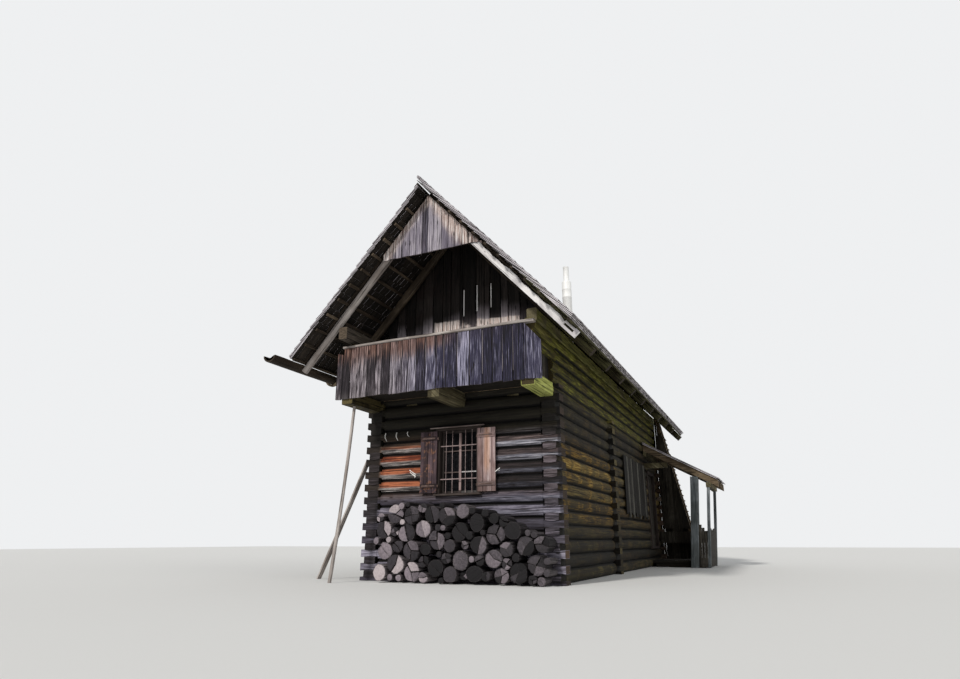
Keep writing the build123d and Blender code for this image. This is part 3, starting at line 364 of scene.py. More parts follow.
def parapetRegion(f):
    # orange brown tops that fade to the right, blue grey middles that are partly painted bluish shade, and
    # slightly paler feet at the left
    f.wash(.85, f.fibre + f.tone * .22, (.52, (.005, .004, .006)), (.66, (.050, .040, .050)),
           (.83, (.58, .52, .57)))
    top = f.smooth(f.z + f.fibre * .8 - f.weather * .5 + f.tone * .15, 3.84, 4.10)
    top = top * (1 - f.smooth(f.x, -.1, .7) * .9)
    f.wash(top * .75, f.fibre, (.38, (.022, .012, .011)), (.55, (.17, .080, .056)), (.74, (.55, .36, .28)))
    # painted shade: bluish towards the right, over the boards' own grey
    blue = f.smooth(f.x + f.weather * .6, -.9, .6) * (1 - top)
    f.wash(blue * .75, f.fibre + f.tone * .25, (.50, (.003, .003, .008)), (.67, (.034, .034, .080)),
           (.87, (.48, .48, .66)))
    foot = f.fall(f.z + f.fibre * .4, 3.16, 3.40) * f.fall(f.x, -1.5, -.6)
    f.wash(foot * .3, f.fibre, (.44, (.06, .05, .05)), (.64, (.44, .40, .40)))


def gableRegion(f):
    # purple grey boards, bleached and pinkish along the roof
    f.wash(.7, f.fibre * .95 + f.tone * .3, (.42, (.018, .016, .026)), (.62, (.19, .17, .23)),
           (.86, (.62, .58, .64)))
    edge = f.smooth(abs(f.x) * 1.118 + f.z + f.weather * .7 + f.fibre * .3 + f.smooth(f.x, .1, .9) * .16,
                    6.60, 6.94)
    f.wash(edge * .9, f.fibre, (.38, (.10, .055, .048)), (.50, (.56, .42, .37)), (.62, (.96, .92, .89)))


def loftRegion(f):
    # nearly black high up, painted deep shade under the roof; lighter behind the handrail; with a painted
    # strip of sunlight over the rail
    low = f.fall(f.z + f.weather * .3 - f.tone * .25 - f.smooth(f.x, -.8, .2) * .15, 4.30, 4.62)
    f.wash(low * .9, f.fibre * .9 + f.tone * .5, (.38, (.016, .013, .014)), (.58, (.11, .090, .098)),
           (.88, (.44, .39, .42)))
    # painted sunlight: a bright strip on the boards above the rail
    strip = f.smooth(f.z, 4.28, 4.33) * f.fall(f.z + f.weather * .2 + f.x * .06, 4.61, 4.64)
    strip = strip * f.smooth(f.x, -.56, -.48) * f.smooth(f.weather + f.tone * .2, .46, .56)
    strip = strip * f.fall(f.x, 1.15, 1.2)
    f.wash(strip * .9, f.fibre, (.35, (.42, .24, .17)), (.60, (.97, .92, .90)))


def hungRegion(f):
    # every few boards a bleached one, the others nearly black
    pale = f.smooth(f.tone + f.fibre * .3, .90, 1.02)
    f.wash(.85, f.fibre, (.42, (.0020, .0017, .0014)), (.72, (.013, .011, .009)))
    f.wash(pale * .7, f.fibre, (.40, (.035, .033, .027)), (.68, (.26, .25, .22)))


def pinkRegion(f):
    # orange streak down the middle of the bleached shutter, dark battens
    streak = f.band(f.x + f.weather * .1, .57, .63, .67, .73)
    streak = streak * f.smooth(f.z, 1.65, 1.9)
    f.wash(streak * .5, f.fibre, (.3, (.28, .10, .04)), (.6, (.66, .36, .20)))
    low = f.fall(f.z + f.fibre * .1, 1.62, 1.68)
    f.wash(low * .6, (.10, .062, .055))
    batten = f.fall(f.y, -.187, -.182) * (.75 - f.smooth(f.z, 1.7, 2.2) * .45)
    f.wash(batten, f.fibre, (.35, (.026, .016, .015)), (.7, (.19, .125, .118)))


def brownRegion(f):
    # orange brown dapples, dark battens
    dapple = f.smooth(f.noise(f.at, 9, 3, .6, .5) + f.fibre * .2, .62, .74)
    f.wash(dapple * .6, f.fibre, (.35, (.10, .042, .022)), (.65, (.42, .21, .12)))
    f.wash(f.fall(f.y, -.187, -.182) * .8, f.fibre, (.35, (.008, .005, .005)), (.7, (.055, .034, .032)))


def shingleRegion(f):
    # brown sheltered undersides, pale worn edges with painted shade lines between the layers, and painted
    # light on the undersides under the right eave
    under = f.fall(f.lift, -.95, -.80)
    layerShade = f.band(f.lift, .45, .6, .94, .99)
    edge = f.band(f.lift, -.80, -.55, .45, .60)
    f.wash(edge * .85, f.fibre + f.tone * .3, (.38, (.24, .21, .23)), (.68, (.86, .81, .87)))
    # painted shade: a black line along the top of each edge, between the layers
    f.wash(layerShade * .9, (.010, .008, .008))
    f.wash(under * .95, f.fibre * .9 + f.tone * .15, (.40, (.004, .003, .002)), (.65, (.020, .014, .009)),
           (.85, (.060, .043, .027)))
    # painted light: olive on the undersides under the right eave
    eave = under * f.smooth(f.x, 1.75, 1.85) * f.smooth(f.fibre * .5 + f.weather * .6, .45, .62)
    f.wash(eave * .8, f.fibre, (.4, (.06, .058, .022)), (.65, (.44, .43, .20)))


def plateRegion(f):
    # grey brown beams with an olive outer face along the right side, partly painted green bounce light
    # painted green bounce light on the right side, over the beams' own olive
    olive = f.smooth(f.x, 1.735, 1.75) * f.smooth(f.weather, .36, .50)
    f.wash(olive * .85, f.fibre, (.38, (.06, .058, .012)), (.62, (.40, .39, .11)))
    grey = f.fall(f.x, -.2, .2)
    f.wash(grey * .85, f.fibre, (.38, (.025, .020, .018)), (.65, (.14, .115, .10)))


def plateEnds(f):
    # the left plate's end is sheltered and brown
    grain = f.noise(f.stretch(f.at, 20, 20, 40), 1, 4)
    f.wash(f.fall(f.x, -.2, .2) * .85, grain, (.35, (.020, .013, .010)), (.65, (.115, .080, .060)))


def eaveRegion(f):
    # rafter ends and battens under the right eave catch the light from that side
    eave = f.smooth(f.x, 1.75, 1.85) * f.smooth(f.fibre * .5 + f.weather * .6, .40, .56)
    f.wash(eave * .7, f.fibre, (.4, (.022, .021, .008)), (.65, (.15, .145, .06)))


def paleMetal():
    # matt galvanised coating: cloudy patches and rain streaks down the pipe, some of them stained
    f = Finish("paleMetal")
    spot = f.spot()
    cloud = f.noise(spot, 9, 4, .6)
    run = f.noise(f.stretch(spot, 40, 40, 1.5), 1, 3)
    colour = f.ramp(cloud * .5 + run * .5, (.3, (.84, .83, .82)), (.5, (.95, .95, .94)),
                    (.7, (.98, .98, .98)))
    colour = f.blend(f.smooth(run, .62, .74) * .35, colour, (.60, .54, .50))
    return f.close(colour=colour, rough=cloud * .25 + .45, metal=.05, normal=f.bump(cloud, .002, .4))


def rustyIron(name, low, middle, high):
    # forged iron: brown rust grains over dark metal, paler where it is rubbed
    f = Finish(name)
    spot = f.spot()
    grain = f.noise(spot, 120, 4, .7)
    area = f.noise(spot, 18, 3)
    colour = f.ramp(grain * .6 + area * .4, (.3, low), (.48, middle), (.68, high))
    return f.close(colour=colour, rough=grain * .3 + .55, metal=.3, normal=f.bump(grain, .001, .6))


def oldGlass():
    # nearly black glass, painted darkness of the unlit room behind it, with thin dust and faint waves
    f = Finish("oldGlass")
    spot = f.spot()
    wave = f.noise(f.stretch(spot, 3, 3, 9), 1, 2)
    dust = f.noise(spot, 22, 4, .7)
    return f.close(colour=f.ramp(dust, (.4, (.004, .004, .005)), (.75, (.016, .016, .017))),
                   rough=dust * .2 + .3, normal=f.bump(wave, .003, .3), specular=.01)


def whiteBone():
    # smooth and white with a faint grain
    f = Finish("whitePegs")
    spot = f.spot()
    grain = f.noise(f.stretch(spot, 60, 60, 12), 1, 3)
    return f.close(colour=f.ramp(grain, (.3, (.80, .78, .74)), (.6, (.97, .96, .94))),
                   rough=grain * .2 + .5, normal=f.bump(grain, .001, .4))


def install(name, mesh, material, body, replaces, sharp):
    # smooth faces with sharp edges, one material, and the piece's place in the frame
    mesh.polygons.foreach_set("use_smooth", np.ones(len(mesh.polygons), bool))
    mesh.set_sharp_from_angle(angle=math.radians(sharp))
    mesh.materials.append(material)
    made = bpy.data.objects.new(name, mesh)
    bpy.context.scene.collection.objects.link(made)
    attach(made, body)
    if replaces:
        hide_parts(*replaces)
    print(name, "made,", len(mesh.loops) - 2 * len(mesh.polygons), "triangles")


class Pile:
    # gathers closed swept bodies into one mesh, with place, tone, lift and cut values at the face corners
    def __init__(self, seed):
        self.rng = np.random.default_rng(seed)
        self.points, self.loops, self.sizes, self.values = [], [], [], []
        self.count = 0

    def add(self, rings, along, lift, tone=None, pith=None):
        # neighbouring rings are joined by quads, the first and last are closed by fans round their middles;
        # the year rings on the ends are centred on pith, or else on the middle
        n, m = rings.shape[:2]
        tone = self.rng.random() if tone is None else tone
        middle = rings.mean(1)
        points = np.vstack([rings.reshape(-1, 3), middle[[0, -1]]])
        i, j = np.meshgrid(np.arange(n - 1), np.arange(m), indexing="ij")
        k = (j + 1) % m
        quads = np.stack([i * m + j, i * m + k, (i + 1) * m + k, (i + 1) * m + j], -1).reshape(-1, 4)
        girth = np.concatenate([[0], np.cumsum(np.linalg.norm(
            np.roll(rings, -1, 1) - rings, axis=2).mean(0))])
        u = np.stack([along[i], along[i], along[i + 1], along[i + 1]], -1).reshape(-1, 4)
        v = np.stack([girth[j], girth[j + 1], girth[j + 1], girth[j]], -1).reshape(-1, 4)
        up = np.broadcast_to(lift, (n, m))
        side = np.stack([up[i, j], up[i, k], up[i + 1, k], up[i + 1, j]], -1).reshape(-1, 4)
        first = np.stack([np.full(m, n * m), (np.arange(m) + 1) % m, np.arange(m)], -1)
        last = np.stack([np.full(m, n * m + 1), (n - 1) * m + first[:, 2], (n - 1) * m + first[:, 1]], -1)
        fans = np.vstack([first, last])
        # turned about when its volume, the sum over its triangles of a . (b x c), comes out negative
        corners = points[np.vstack([quads[:, :3], quads[:, [0, 2, 3]], fans])]
        volume = np.einsum("ij,ij->", np.cross(corners[:, 0], corners[:, 1]), corners[:, 2])
        a = rings[0, 0] - middle[0]
        a = a / max(np.linalg.norm(a), 1e-9)
        t = middle[-1] - middle[0]
        b = np.cross(t / max(np.linalg.norm(t), 1e-9), a)
        ends = np.where(fans[:, :1] == n * m, 0, 1)
        offset = points[fans] - middle[[0, -1]][ends[:, 0]][:, None]
        if pith is not None:
            offset = offset + (middle[0] - pith)
        fanPlace = np.stack([offset @ a, offset @ b], -1)
        quadPlace = np.stack([u, v], -1)
        if volume < 0:
            quads, side, quadPlace = quads[:, ::-1], side[:, ::-1], quadPlace[:, ::-1]
            fans, fanPlace = fans[:, ::-1], fanPlace[:, ::-1]
        self.points.append(points)
        self.loops.append(np.concatenate([quads.ravel(), fans.ravel()]) + self.count)
        self.sizes.append(np.concatenate([np.full(len(quads), 4), np.full(len(fans), 3)]))
        place = np.vstack([quadPlace.reshape(-1, 2), fanPlace.reshape(-1, 2)])
        lifts = np.concatenate([side.ravel(), np.zeros(fans.size)])
        cuts = np.concatenate([np.zeros(quads.size), np.ones(fans.size)])
        self.values.append(np.column_stack([place, np.full(len(place), tone), lifts, cuts]))
        self.count += len(points)

    def piece(self, name, material, body="cabin", replaces=(), sharp=40):
        points, loops = np.vstack(self.points), np.concatenate(self.loops)
        sizes, values = np.concatenate(self.sizes), np.vstack(self.values).astype(np.float32)
        mesh = bpy.data.meshes.new(name)
        mesh.vertices.add(len(points))
        mesh.vertices.foreach_set("co", points.astype(np.float32).ravel())
        mesh.loops.add(len(loops))
        mesh.loops.foreach_set("vertex_index", loops.astype(np.int32))
        mesh.polygons.add(len(sizes))
        mesh.polygons.foreach_set("loop_start", np.concatenate([[0], np.cumsum(sizes)[:-1]]).astype(np.int32))
        mesh.update(calc_edges=True)
        mesh.uv_layers.new(name="place").data.foreach_set("uv", values[:, :2].ravel())
        for column, label in ((2, "tone"), (3, "lift"), (4, "cut")):
            mesh.attributes.new(label, "FLOAT", "CORNER").data.foreach_set("value", values[:, column].copy())
        install(name, mesh, material, body, replaces, sharp)


def ripple(rng, u, v, perU, perV, waves=7):
    # smooth random height: a sum of sine waves in random directions and phases, about one high at most
    total = np.zeros(np.broadcast(u, v).shape)
    for wave in range(waves):
        a, b = rng.normal(0, perU), rng.normal(0, perV)
        total = total + np.sin(a * u + b * v + rng.uniform(0, 2 * np.pi))
    return total / waves ** .5 / 1.5


def squareProfile(w, h, bevel):
    # rectangle seen from its end, with bevelled corners and middle points on two sides, in shares of w and h
    a, b = 1 - min(bevel / w, .45), 1 - min(bevel / h, .45)
    return np.array([(1, -b), (1, b), (a, 1), (0, 1), (-a, 1), (-1, b), (-1, -b), (-a, -1), (0, -1), (a, -1)])


def roundProfile(sides):
    turn = np.linspace(0, 2 * np.pi, sides, endpoint=False)
    return np.column_stack([np.cos(turn), np.sin(turn)])


def unit(vector):
    vector = np.asarray(vector, float)
    return vector / np.linalg.norm(vector)


def timber(pile, start, end, across, w, h, profile=None, steps=None, rough=.003, bow=.004, bevel=.006,
           taper=1.0, slants=(0, 0), wane=0.0, tone=None):
    # straight stick from start to end: its section is carried along a slightly bowed line and made uneven by
    # smooth noise. w and h are half sizes across and over, slants shear its ends, and wane makes its top edge
    # wavy. Nothing goes below the floor.
    rng = pile.rng
    start, end = np.asarray(start, float), np.asarray(end, float)
    length = np.linalg.norm(end - start)
    t = unit(end - start)
    a = unit(np.asarray(across, float) - t * np.dot(across, t))
    b = np.cross(t, a)
    profile = squareProfile(w, h, bevel) if profile is None else profile
    steps = steps or max(3, int(length / .25) + 2)
    s = np.linspace(0, 1, steps)
    size = (1 + (taper - 1) * s)[:, None]
    u = (s * length)[:, None]
    turn = np.arctan2(profile[:, 1] * h, profile[:, 0] * w)[None, :]
    dent = 1 - rough / min(w, h) * .5 * (1 + ripple(rng, u, turn, 5, 2.2))
    fade = np.sin(np.pi * s)
    x = profile[:, 0][None] * w * size * np.clip(dent, .6, 1)
    y = profile[:, 1][None] * h * size * np.clip(dent, .6, 1)
    if wane:
        waves = wane * (.5 + .5 * ripple(rng, u, 0 * u, 9, 0))
        y = np.where(y > 0, y - waves * (y / h), y)
    middle = start + (end - start) * s[:, None]
    middle = middle + a * (rng.normal(0, bow) * fade)[:, None] + b * (rng.normal(0, bow) * fade)[:, None]
    shear = (slants[0] * (1 - s) + slants[1] * s)[:, None] * profile[:, 0][None] * w
    rings = middle[:, None] + x[..., None] * a + y[..., None] * b + shear[..., None] * t
    rings[..., 2] = np.maximum(rings[..., 2], .001)
    pile.add(rings, s * length + rng.uniform(0, 5), profile[:, 1][None], tone)


# how rough, bowed and bevelled the smaller sticks are
fineWork = {"rough": .001, "bow": 0, "bevel": .003}
cleanWork = {"rough": .002, "bow": 0, "bevel": .004}
ironWork = {"rough": .0004, "bow": 0}


def upright(pile, x, y, low, high, w, h, **work):
    # stick along Z, broad along X
    timber(pile, (x, y, low), (x, y, high), alongX, w, h, **work)


def lying(pile, x0, x1, y, z, w, h, **work):
    # stick along X, broad along Y
    timber(pile, (x0, y, z), (x1, y, z), alongY, w, h, **work)


def slopeZ(x, depth=0.0):
    # height of the right slope at a distance from the middle, at a depth above the rafters' underside
    return cabin["plateTop"] + (cabin["plateOuter"] - x) * tangent + depth / cosine


def onSlope(down, depth, y, side=1):
    # point on a slope from its distance down from the ridge line and its depth above the rafters' underside
    x = down * cosine + depth * sine
    return np.array([side * x, y, slopeZ(0) - down * sine + depth * cosine])


logWalls = {"step": .13, "hollow": .004, "joint": .007, "neckDepth": .117, "neckHeight": .0555,
            "shoulder": .028, "flare": 1.12, "headEnd": 1.869, "headStart": 1.8, "headReach": .075,
            "inner": 1.5535, "marks": (0, .007, .014, .021, .028), "wear": .03, "bearer": 13,
            "bearerHalf": (.113, .108), "endSize": .94, "endReach": .004}
quarter = [0, 13, 25.5, 45, 65.6]
logTurns = np.radians(quarter + [90] + [180 - q for q in reversed(quarter[1:])])
logTurns = np.concatenate([logTurns, logTurns + np.pi])


def jointLine(wall, joint, s):
    # height by which the scribed joint between two logs wanders; the foot stays level
    if joint == 0:
        return 0 * s
    rng = np.random.default_rng(1000 * wall + joint + 5)
    return logWalls["joint"] * ripple(rng, s, 0 * s, 1.6, 0, 4)


def logRings(pile, wall, index, s, neck, place, clips=()):
    # one log: a round section cut flat above and below, which narrows to a flat neck where neck is 1.
    # place turns (distance along, depth, height) into a point; clips hold the height over a stretch.
    r, half = cabin["logRadius"], cabin["course"] / 2 - .0015
    turn = logTurns[None, :]
    upper, lower = jointLine(wall, index + 1, s)[:, None], jointLine(wall, index, s)[:, None]
    plump = pile.rng.uniform(.90, .99)
    skin = 1 - logWalls["hollow"] / r * (1 + ripple(pile.rng, s[:, None], turn, 4.5, 1.6))
    depth = r * plump * skin * np.cos(turn)
    height = r * np.sin(turn)
    height = np.where(height > 0, np.minimum(height, half) * (1 + upper / half),
                      np.maximum(height, -half) * (1 - lower / half))
    past = np.clip((np.abs(s) - logWalls["headStart"]) / logWalls["headReach"], 0, 1)
    flare = 1 + past * (logWalls["flare"] - 1)
    if wall >= 3:      # the side logs have no heads
        flare = np.ones_like(s)
    a, b = logWalls["neckDepth"], logWalls["neckHeight"]
    reach = 1 / np.maximum(np.abs(np.cos(turn)) / a, np.abs(np.sin(turn)) / b)
    wear = 1 - logWalls["wear"] * (1 + ripple(pile.rng, s[:, None], turn, 6, 2))
    neckDepth, neckHeight = reach * np.cos(turn) * wear, reach * np.sin(turn) * flare[:, None]
    w = neck[:, None]
    if wall >= 3 and index == logWalls["bearer"]:      # the bearers are hewn square under the balcony
        wide, tall = logWalls["bearerHalf"]
        hewn = np.clip((-.16 - s) / .02, 0, 1)[:, None]
        square = 1 / np.maximum(np.abs(np.cos(turn)) / wide, np.abs(np.sin(turn)) / tall)
        depth = depth * (1 - hewn) + square * np.cos(turn) * hewn
        height = height * (1 - hewn) + square * np.sin(turn) * hewn
    shoulder = np.sin(np.clip(w, 0, 1) * np.pi) * .12
    depth = depth * (1 - w) * (1 - shoulder) + neckDepth * w
    height = height * (1 - w) * (1 - shoulder) + neckHeight * w
    for low, high, start, end in clips:
        inside = ((s >= start) & (s <= end))[:, None]
        height = np.where(inside, np.clip(height, low, high), height)
    lift = np.broadcast_to(np.sin(turn), height.shape)
    rings = place(s[:, None] + 0 * height, depth, height)
    first, last = rings[:1].mean(1, keepdims=True), rings[-1:].mean(1, keepdims=True)
    size, reach = logWalls["endSize"], logWalls["endReach"]
    rings = np.concatenate([first + (rings[:1] - first) * size, rings, last + (rings[-1:] - last) * size])
    along = np.concatenate([s[:1] - reach, s, s[-1:] + reach]) + pile.rng.uniform(0, 9)
    pile.add(rings, along, lift=np.concatenate([lift[:1], lift, lift[-1:]]))


def neckShare(s, centres, reach):
    # 1 inside the neck round each crossing, falling to 0 over the rounded shoulder
    nearest = np.min(np.abs(s[:, None] - np.asarray(centres)[None, :]), axis=1)
    return 1 - np.clip((nearest - reach) / logWalls["shoulder"], 0, 1)


def stations(start, end, marks):
    # places along a log: regular steps with extra ones at the shoulders and openings
    places = [start, end, *np.arange(start, end, logWalls["step"])]
    for mark in marks:
        places += [m for m in (mark - .0005, mark + .0005) if start < m < end]
    return np.unique(np.round(places, 5))


def crossingWall(name, wall, y, material, nodes, opening=None):
    # stack of logs along X between a half log at the foot and one at the top; an opening splits or notches it
    pile = Pile(20 + wall)
    c, inner, end = cabin["course"], logWalls["inner"], logWalls["headEnd"]
    marks = [inner - d for d in logWalls["marks"]] + [logWalls["headStart"], logWalls["headStart"] + .035]
    marks = [side * mark for side in (-1, 1) for mark in marks]
    if opening:
        x0, x1, low, high = opening
        marks += [x0, x1]
    for index in range(15):
        z, clips = index * c, []

        def place(along, depth, height):
            return np.stack([along, y - depth, z + height], -1)
        if index == 0:
            clips.append((0, 1, -3, 3))
        if index == 14:
            clips.append((-1, 0, -3, 3))
        runs = [(-end, end)]
        if opening:
            bottom, top = z - c / 2, z + c / 2
            if bottom < low - .01 < top:
                clips.append((-1, low - z, x0, x1))
            elif bottom < high + .01 < top:
                clips.append((high - z, 1, x0, x1))
            elif low < z < high:
                runs = [(-end, x0 - .003), (x1 + .003, end)]
        for start, stop in runs:
            s = stations(start, stop, marks)
            share = 1 - np.clip((inner - np.abs(s)) / logWalls["shoulder"], 0, 1)
            logRings(pile, wall, index, s, share, place, clips)
    pile.piece(name, material, replaces=nodes, sharp=34)


def sideWall(name, wall, x, material, nodes, door=None):
    # stack of logs along Y with a neck at each crossing wall; the bearer and the two top logs run out over
    # the balcony
    pile = Pile(20 + wall)
    c, r = cabin["course"], cabin["logRadius"]
    crossings = (0, cabin["crossY"], cabin["rearY"])
    side = 1 if x > 0 else -1
    for index in range(18):
        z = (index + .5) * c

        def place(along, depth, height):
            return np.stack([x + side * depth, along, z + height], -1)
        longer = {logWalls["bearer"]: cabin["parapetBack"] + .002, 16: -.963, 17: -.963}
        start = longer.get(index, cabin["front"] - .006)
        notched = index <= logWalls["bearer"]
        runs = [(start, cabin["rear"] + .006)]
        if door and 2 <= index <= 10:
            runs = [(start, door[0]), (door[1], cabin["rear"] + .006)]
        for low, high in runs:
            marks = [v + sign * (r + d) for v in crossings for sign in (-1, 1)
                     for d in (*logWalls["marks"], .037, .057)]
            s = stations(low, high, marks)
            share = neckShare(s, crossings, r) if notched else np.zeros(len(s))
            logRings(pile, wall, index, s, share, place)
    pile.piece(name, material, replaces=nodes, sharp=34)


frontLogs = agedWood("logs", "frontLogs", region=frontLogRegion, ends=headEnds)
sideLogs = agedWood("sideLogs", region=sideLogRegion, ends=cornerEnds)
plainLogs = agedWood("logs", "plainLogs", ends=cornerEnds)
crossingWall("frontLogWall", 0, 0, frontLogs, ["front_wall"], (-.405, .465, 1.375, 2.535))
crossingWall("crossLogWall", 1, cabin["crossY"], sideLogs, ["cross_wall"], (-.43, .43, .56, 2.352))
crossingWall("rearLogWall", 2, cabin["rearY"], plainLogs, ["rear_wall"])
sideWall("rightLogWall", 3, cabin["sideX"], sideLogs, ["right_wall"], (8.25 - .515, 8.25 + .515))
sideWall("leftLogWall", 4, -cabin["sideX"], sideLogs, ["left_wall"])

pipe = {"x": 1.33, "y": 2.45, "clearX": .36, "clearY": .10, "sheet": .2953, "half": .18,
        "rise": ((-.20, 0), (-.20, .008), (-.1, .012), (0, .015), (.1, .012), (.20, .008), (.20, 0))}
roof = {"shingle": .14, "gap": .005, "exposure": .165, "layers": 4, "layerRise": .0245, "thickness": .0185,
        "base": .2005, "butts": 3.592, "raggedEnd": .014, "overshoot": {1: -.098, -1: .068},
        "warp": .0012, "taper": .4}


def shingleSlope(name, side, nodes):
    # courses of split shingles: each butt rests on three layers below, and the shingle falls to the batten at
    # its head; the last courses end at an upright line beside the ridge, on the right slope past it
    pile = Pile(40 + side)
    rng = pile.rng
    length = roof["exposure"] * roof["layers"]
    butts = [(roof["butts"] - .002 * under, under) for under in range(roof["layers"] - 1)]
    top = (roof["overshoot"][side] - .26 * sine) / cosine
    butts += [(down, roof["layers"] - 1) for down in np.arange(roof["butts"], top + .20, -roof["exposure"])]
    butts += [(top + .17, roof["layers"] - 1), (top + .10, roof["layers"] - 1)]
    profile = np.array([(1, -1), (1, 1), (0, 1), (-1, 1), (-1, -1), (0, -1)], float)
    p, q = profile[:, 0][None], profile[:, 1][None]
    for butt, under in butts:
        y = cabin["vergeY"] + rng.uniform(0, roof["raggedEnd"])
        last = cabin["roofRearY"] - rng.uniform(0, roof["raggedEnd"])
        while y < last - .04:
            width = min(roof["shingle"] * rng.uniform(.6, 1.4), last - y)
            thick = roof["thickness"] * rng.uniform(.75, 1.0)
            end = butt - rng.uniform(0, .02)
            head = max(butt - length, (roof["overshoot"][side] - (roof["base"] + .05) * sine) / cosine)
            d = np.linspace(end, head, 3)
            fall = (end - d) / length
            depth = roof["base"] + roof["layerRise"] * under * (1 - fall)
            half = (width - roof["gap"]) / 2
            base = depth[:, None] + (q * .5 + .5) * (thick * (1 - roof["taper"] * fall))[:, None]
            base = base + rng.normal(0, roof["warp"]) * p
            base = base + rng.normal(0, roof["warp"]) * (1 - p * p) * (1 - fall[:, None])
            down = d[:, None] + 0 * p + rng.normal(0, .004) * p * (fall[:, None] < .1)
            x = np.maximum(down * cosine + base * sine, roof["overshoot"][side])
            z = slopeZ(0) - down * sine + base * cosine
            rings = np.stack([side * x, y + width / 2 + p * half + 0 * x, z], -1)
            clear = abs(x.mean() - pipe["x"]) >= pipe["clearX"]
            if side < 0 or clear or abs(y + width / 2 - pipe["y"]) >= pipe["clearY"]:
                pile.add(rings, d + rng.uniform(0, 9), lift=np.broadcast_to(q, x.shape))
            y += width
    pile.piece(name, shingleWood, replaces=nodes, sharp=30)


shingleWood = agedWood("shingles", region=shingleRegion, endGrain=.5)
rafterWood = agedWood("darkRafters", "rafterWood", region=eaveRegion)
paleWood = agedWood("paleWood")
shingleSlope("rightShingles", 1, ["roof_right"])
shingleSlope("leftShingles", -1, ["roof_left"])


def downhill(side):
    return onSlope(1, 0, 0, side) - onSlope(0, 0, 0, side)


def ridgeStrip():
    # strip on the left slope's last course, under the overshoot
    pile = Pile(45)
    start, end = [onSlope(-.168, .290, y, -1) for y in (cabin["vergeY"] + .004, cabin["roofRearY"] - .004)]
    timber(pile, start, end, downhill(-1), .052, .0085, **cleanWork, steps=40)
    pile.piece("ridgeStrip", rafterWood)


ridgeStrip()

rafters = {"count": 10, "first": -1.303, "w": .055, "h": .08, "last": 9.703, "gable": 9.303,
           "battenStep": .33, "lowBatten": cabin["rafterEnd"] / cosine - .18, "battenDepth": .1803}


def rafterSet():
    # squared poles down each slope, and battens across them
    pile = Pile(50)
    step = (rafters["gable"] - rafters["first"]) / rafters["count"]
    places = [rafters["first"] + (i + 1) * step for i in range(rafters["count"])] + [rafters["last"]]
    end = (cabin["rafterEnd"] - .06) / cosine
    for side in (1, -1):
        for y in places:
            mid = y + rafters["w"]
            timber(pile, onSlope(.06, rafters["h"], mid, side), onSlope(end, rafters["h"], mid, side),
                   alongY, rafters["w"], rafters["h"], rough=.007, bow=.008, bevel=.028, steps=18,
                   tone=.98 if side < 0 and y < 0 else pile.rng.uniform(0, .4))
    pile.piece("rafterPoles", rafterWood, replaces=["rafters_right", "rafters_left"])
    pile = Pile(51)
    run = rafters["battenStep"]
    for side in (1, -1):
        down = rafters["lowBatten"]
        while down > .05:
            w = pile.rng.uniform(.026, .034)
            front = cabin["vergeY"] + .06 - pile.rng.uniform(0, .02)
            timber(pile, onSlope(down, rafters["battenDepth"], front, side),
                   onSlope(down, rafters["battenDepth"], cabin["roofRearY"] - .06, side),
                   downhill(side), w, .019, bevel=.008, steps=40)
            down -= run
    pile.piece("battenSticks", rafterWood, replaces=["battens_right", "battens_left"])
    pile = Pile(54)      # packing between the battens behind the gable's boards
    for side in (1, -1):
        down = rafters["lowBatten"]
        while down > .05:
            top = down - run + .036 if down - run > .05 else -.198
            timber(pile, onSlope(down - .036, .1788, -1.281, side), onSlope(top, .1788, -1.281, side),
                   alongY, .018, .0203, **fineWork, tone=.1)
            down -= run
    pile.piece("gablePacking", rafterWood)


rafterSet()


def vergeRafters():
    # left: a round pole; right: a waney plank with a slot near its lower end
    pile = Pile(52)
    end = cabin["rafterEnd"] / cosine
    y = rafters["first"]
    timber(pile, onSlope(.10, .087, y + .075, -1), onSlope(end - .06, .087, y + .075, -1), alongY, .073,
           .073, profile=roundProfile(14), steps=34, rough=.010, bow=.006, taper=.9)
    pile.piece("vergePole", agedWood("railWood", "poleWood"), replaces=["verge_rafter_left"])
    pile = Pile(53)
    slotStart, slotEnd = end - .10 - .21, end - .10
    for start, stop, low, high in ((.12, slotStart, .03, .16), (slotEnd, end - .03, .03, .16),
                                   (slotStart, slotEnd, .03, .08), (slotStart, slotEnd, .11, .152)):
        timber(pile, onSlope(start, (low + high) / 2, y + .025), onSlope(stop, (low + high) / 2, y + .025),
               alongY, .0245, (high - low) / 2, **cleanWork, steps=60 if start < 1 else 6,
               wane=.045 if start < 1 else 0, tone=.75)
    pile.piece("vergePlank", paleWood, replaces=["verge_rafter_right"])


vergeRafters()

boardWork = {"rough": .0012, "bow": .0015, "bevel": .003}


def board(pile, x, y, across, width, thick, low, high, lowTilt=0.0, highTilt=0.0, steps=None, tone=None):
    # upright board with its middle line at x and y; tilts shear its ends along its width
    timber(pile, (x, y, low), (x, y, high), across, width / 2, thick / 2, slants=(lowTilt, highTilt),
           steps=steps or max(4, int((high - low) / .12)), tone=tone, **boardWork)


parapet = {"half": 1.92, "y": -1.067, "low": 3.0, "top": 3.924, "width": (.11, .20, .30), "gap": .006,
           "wideGap": .018, "openGaps": (1, 12, 14)}


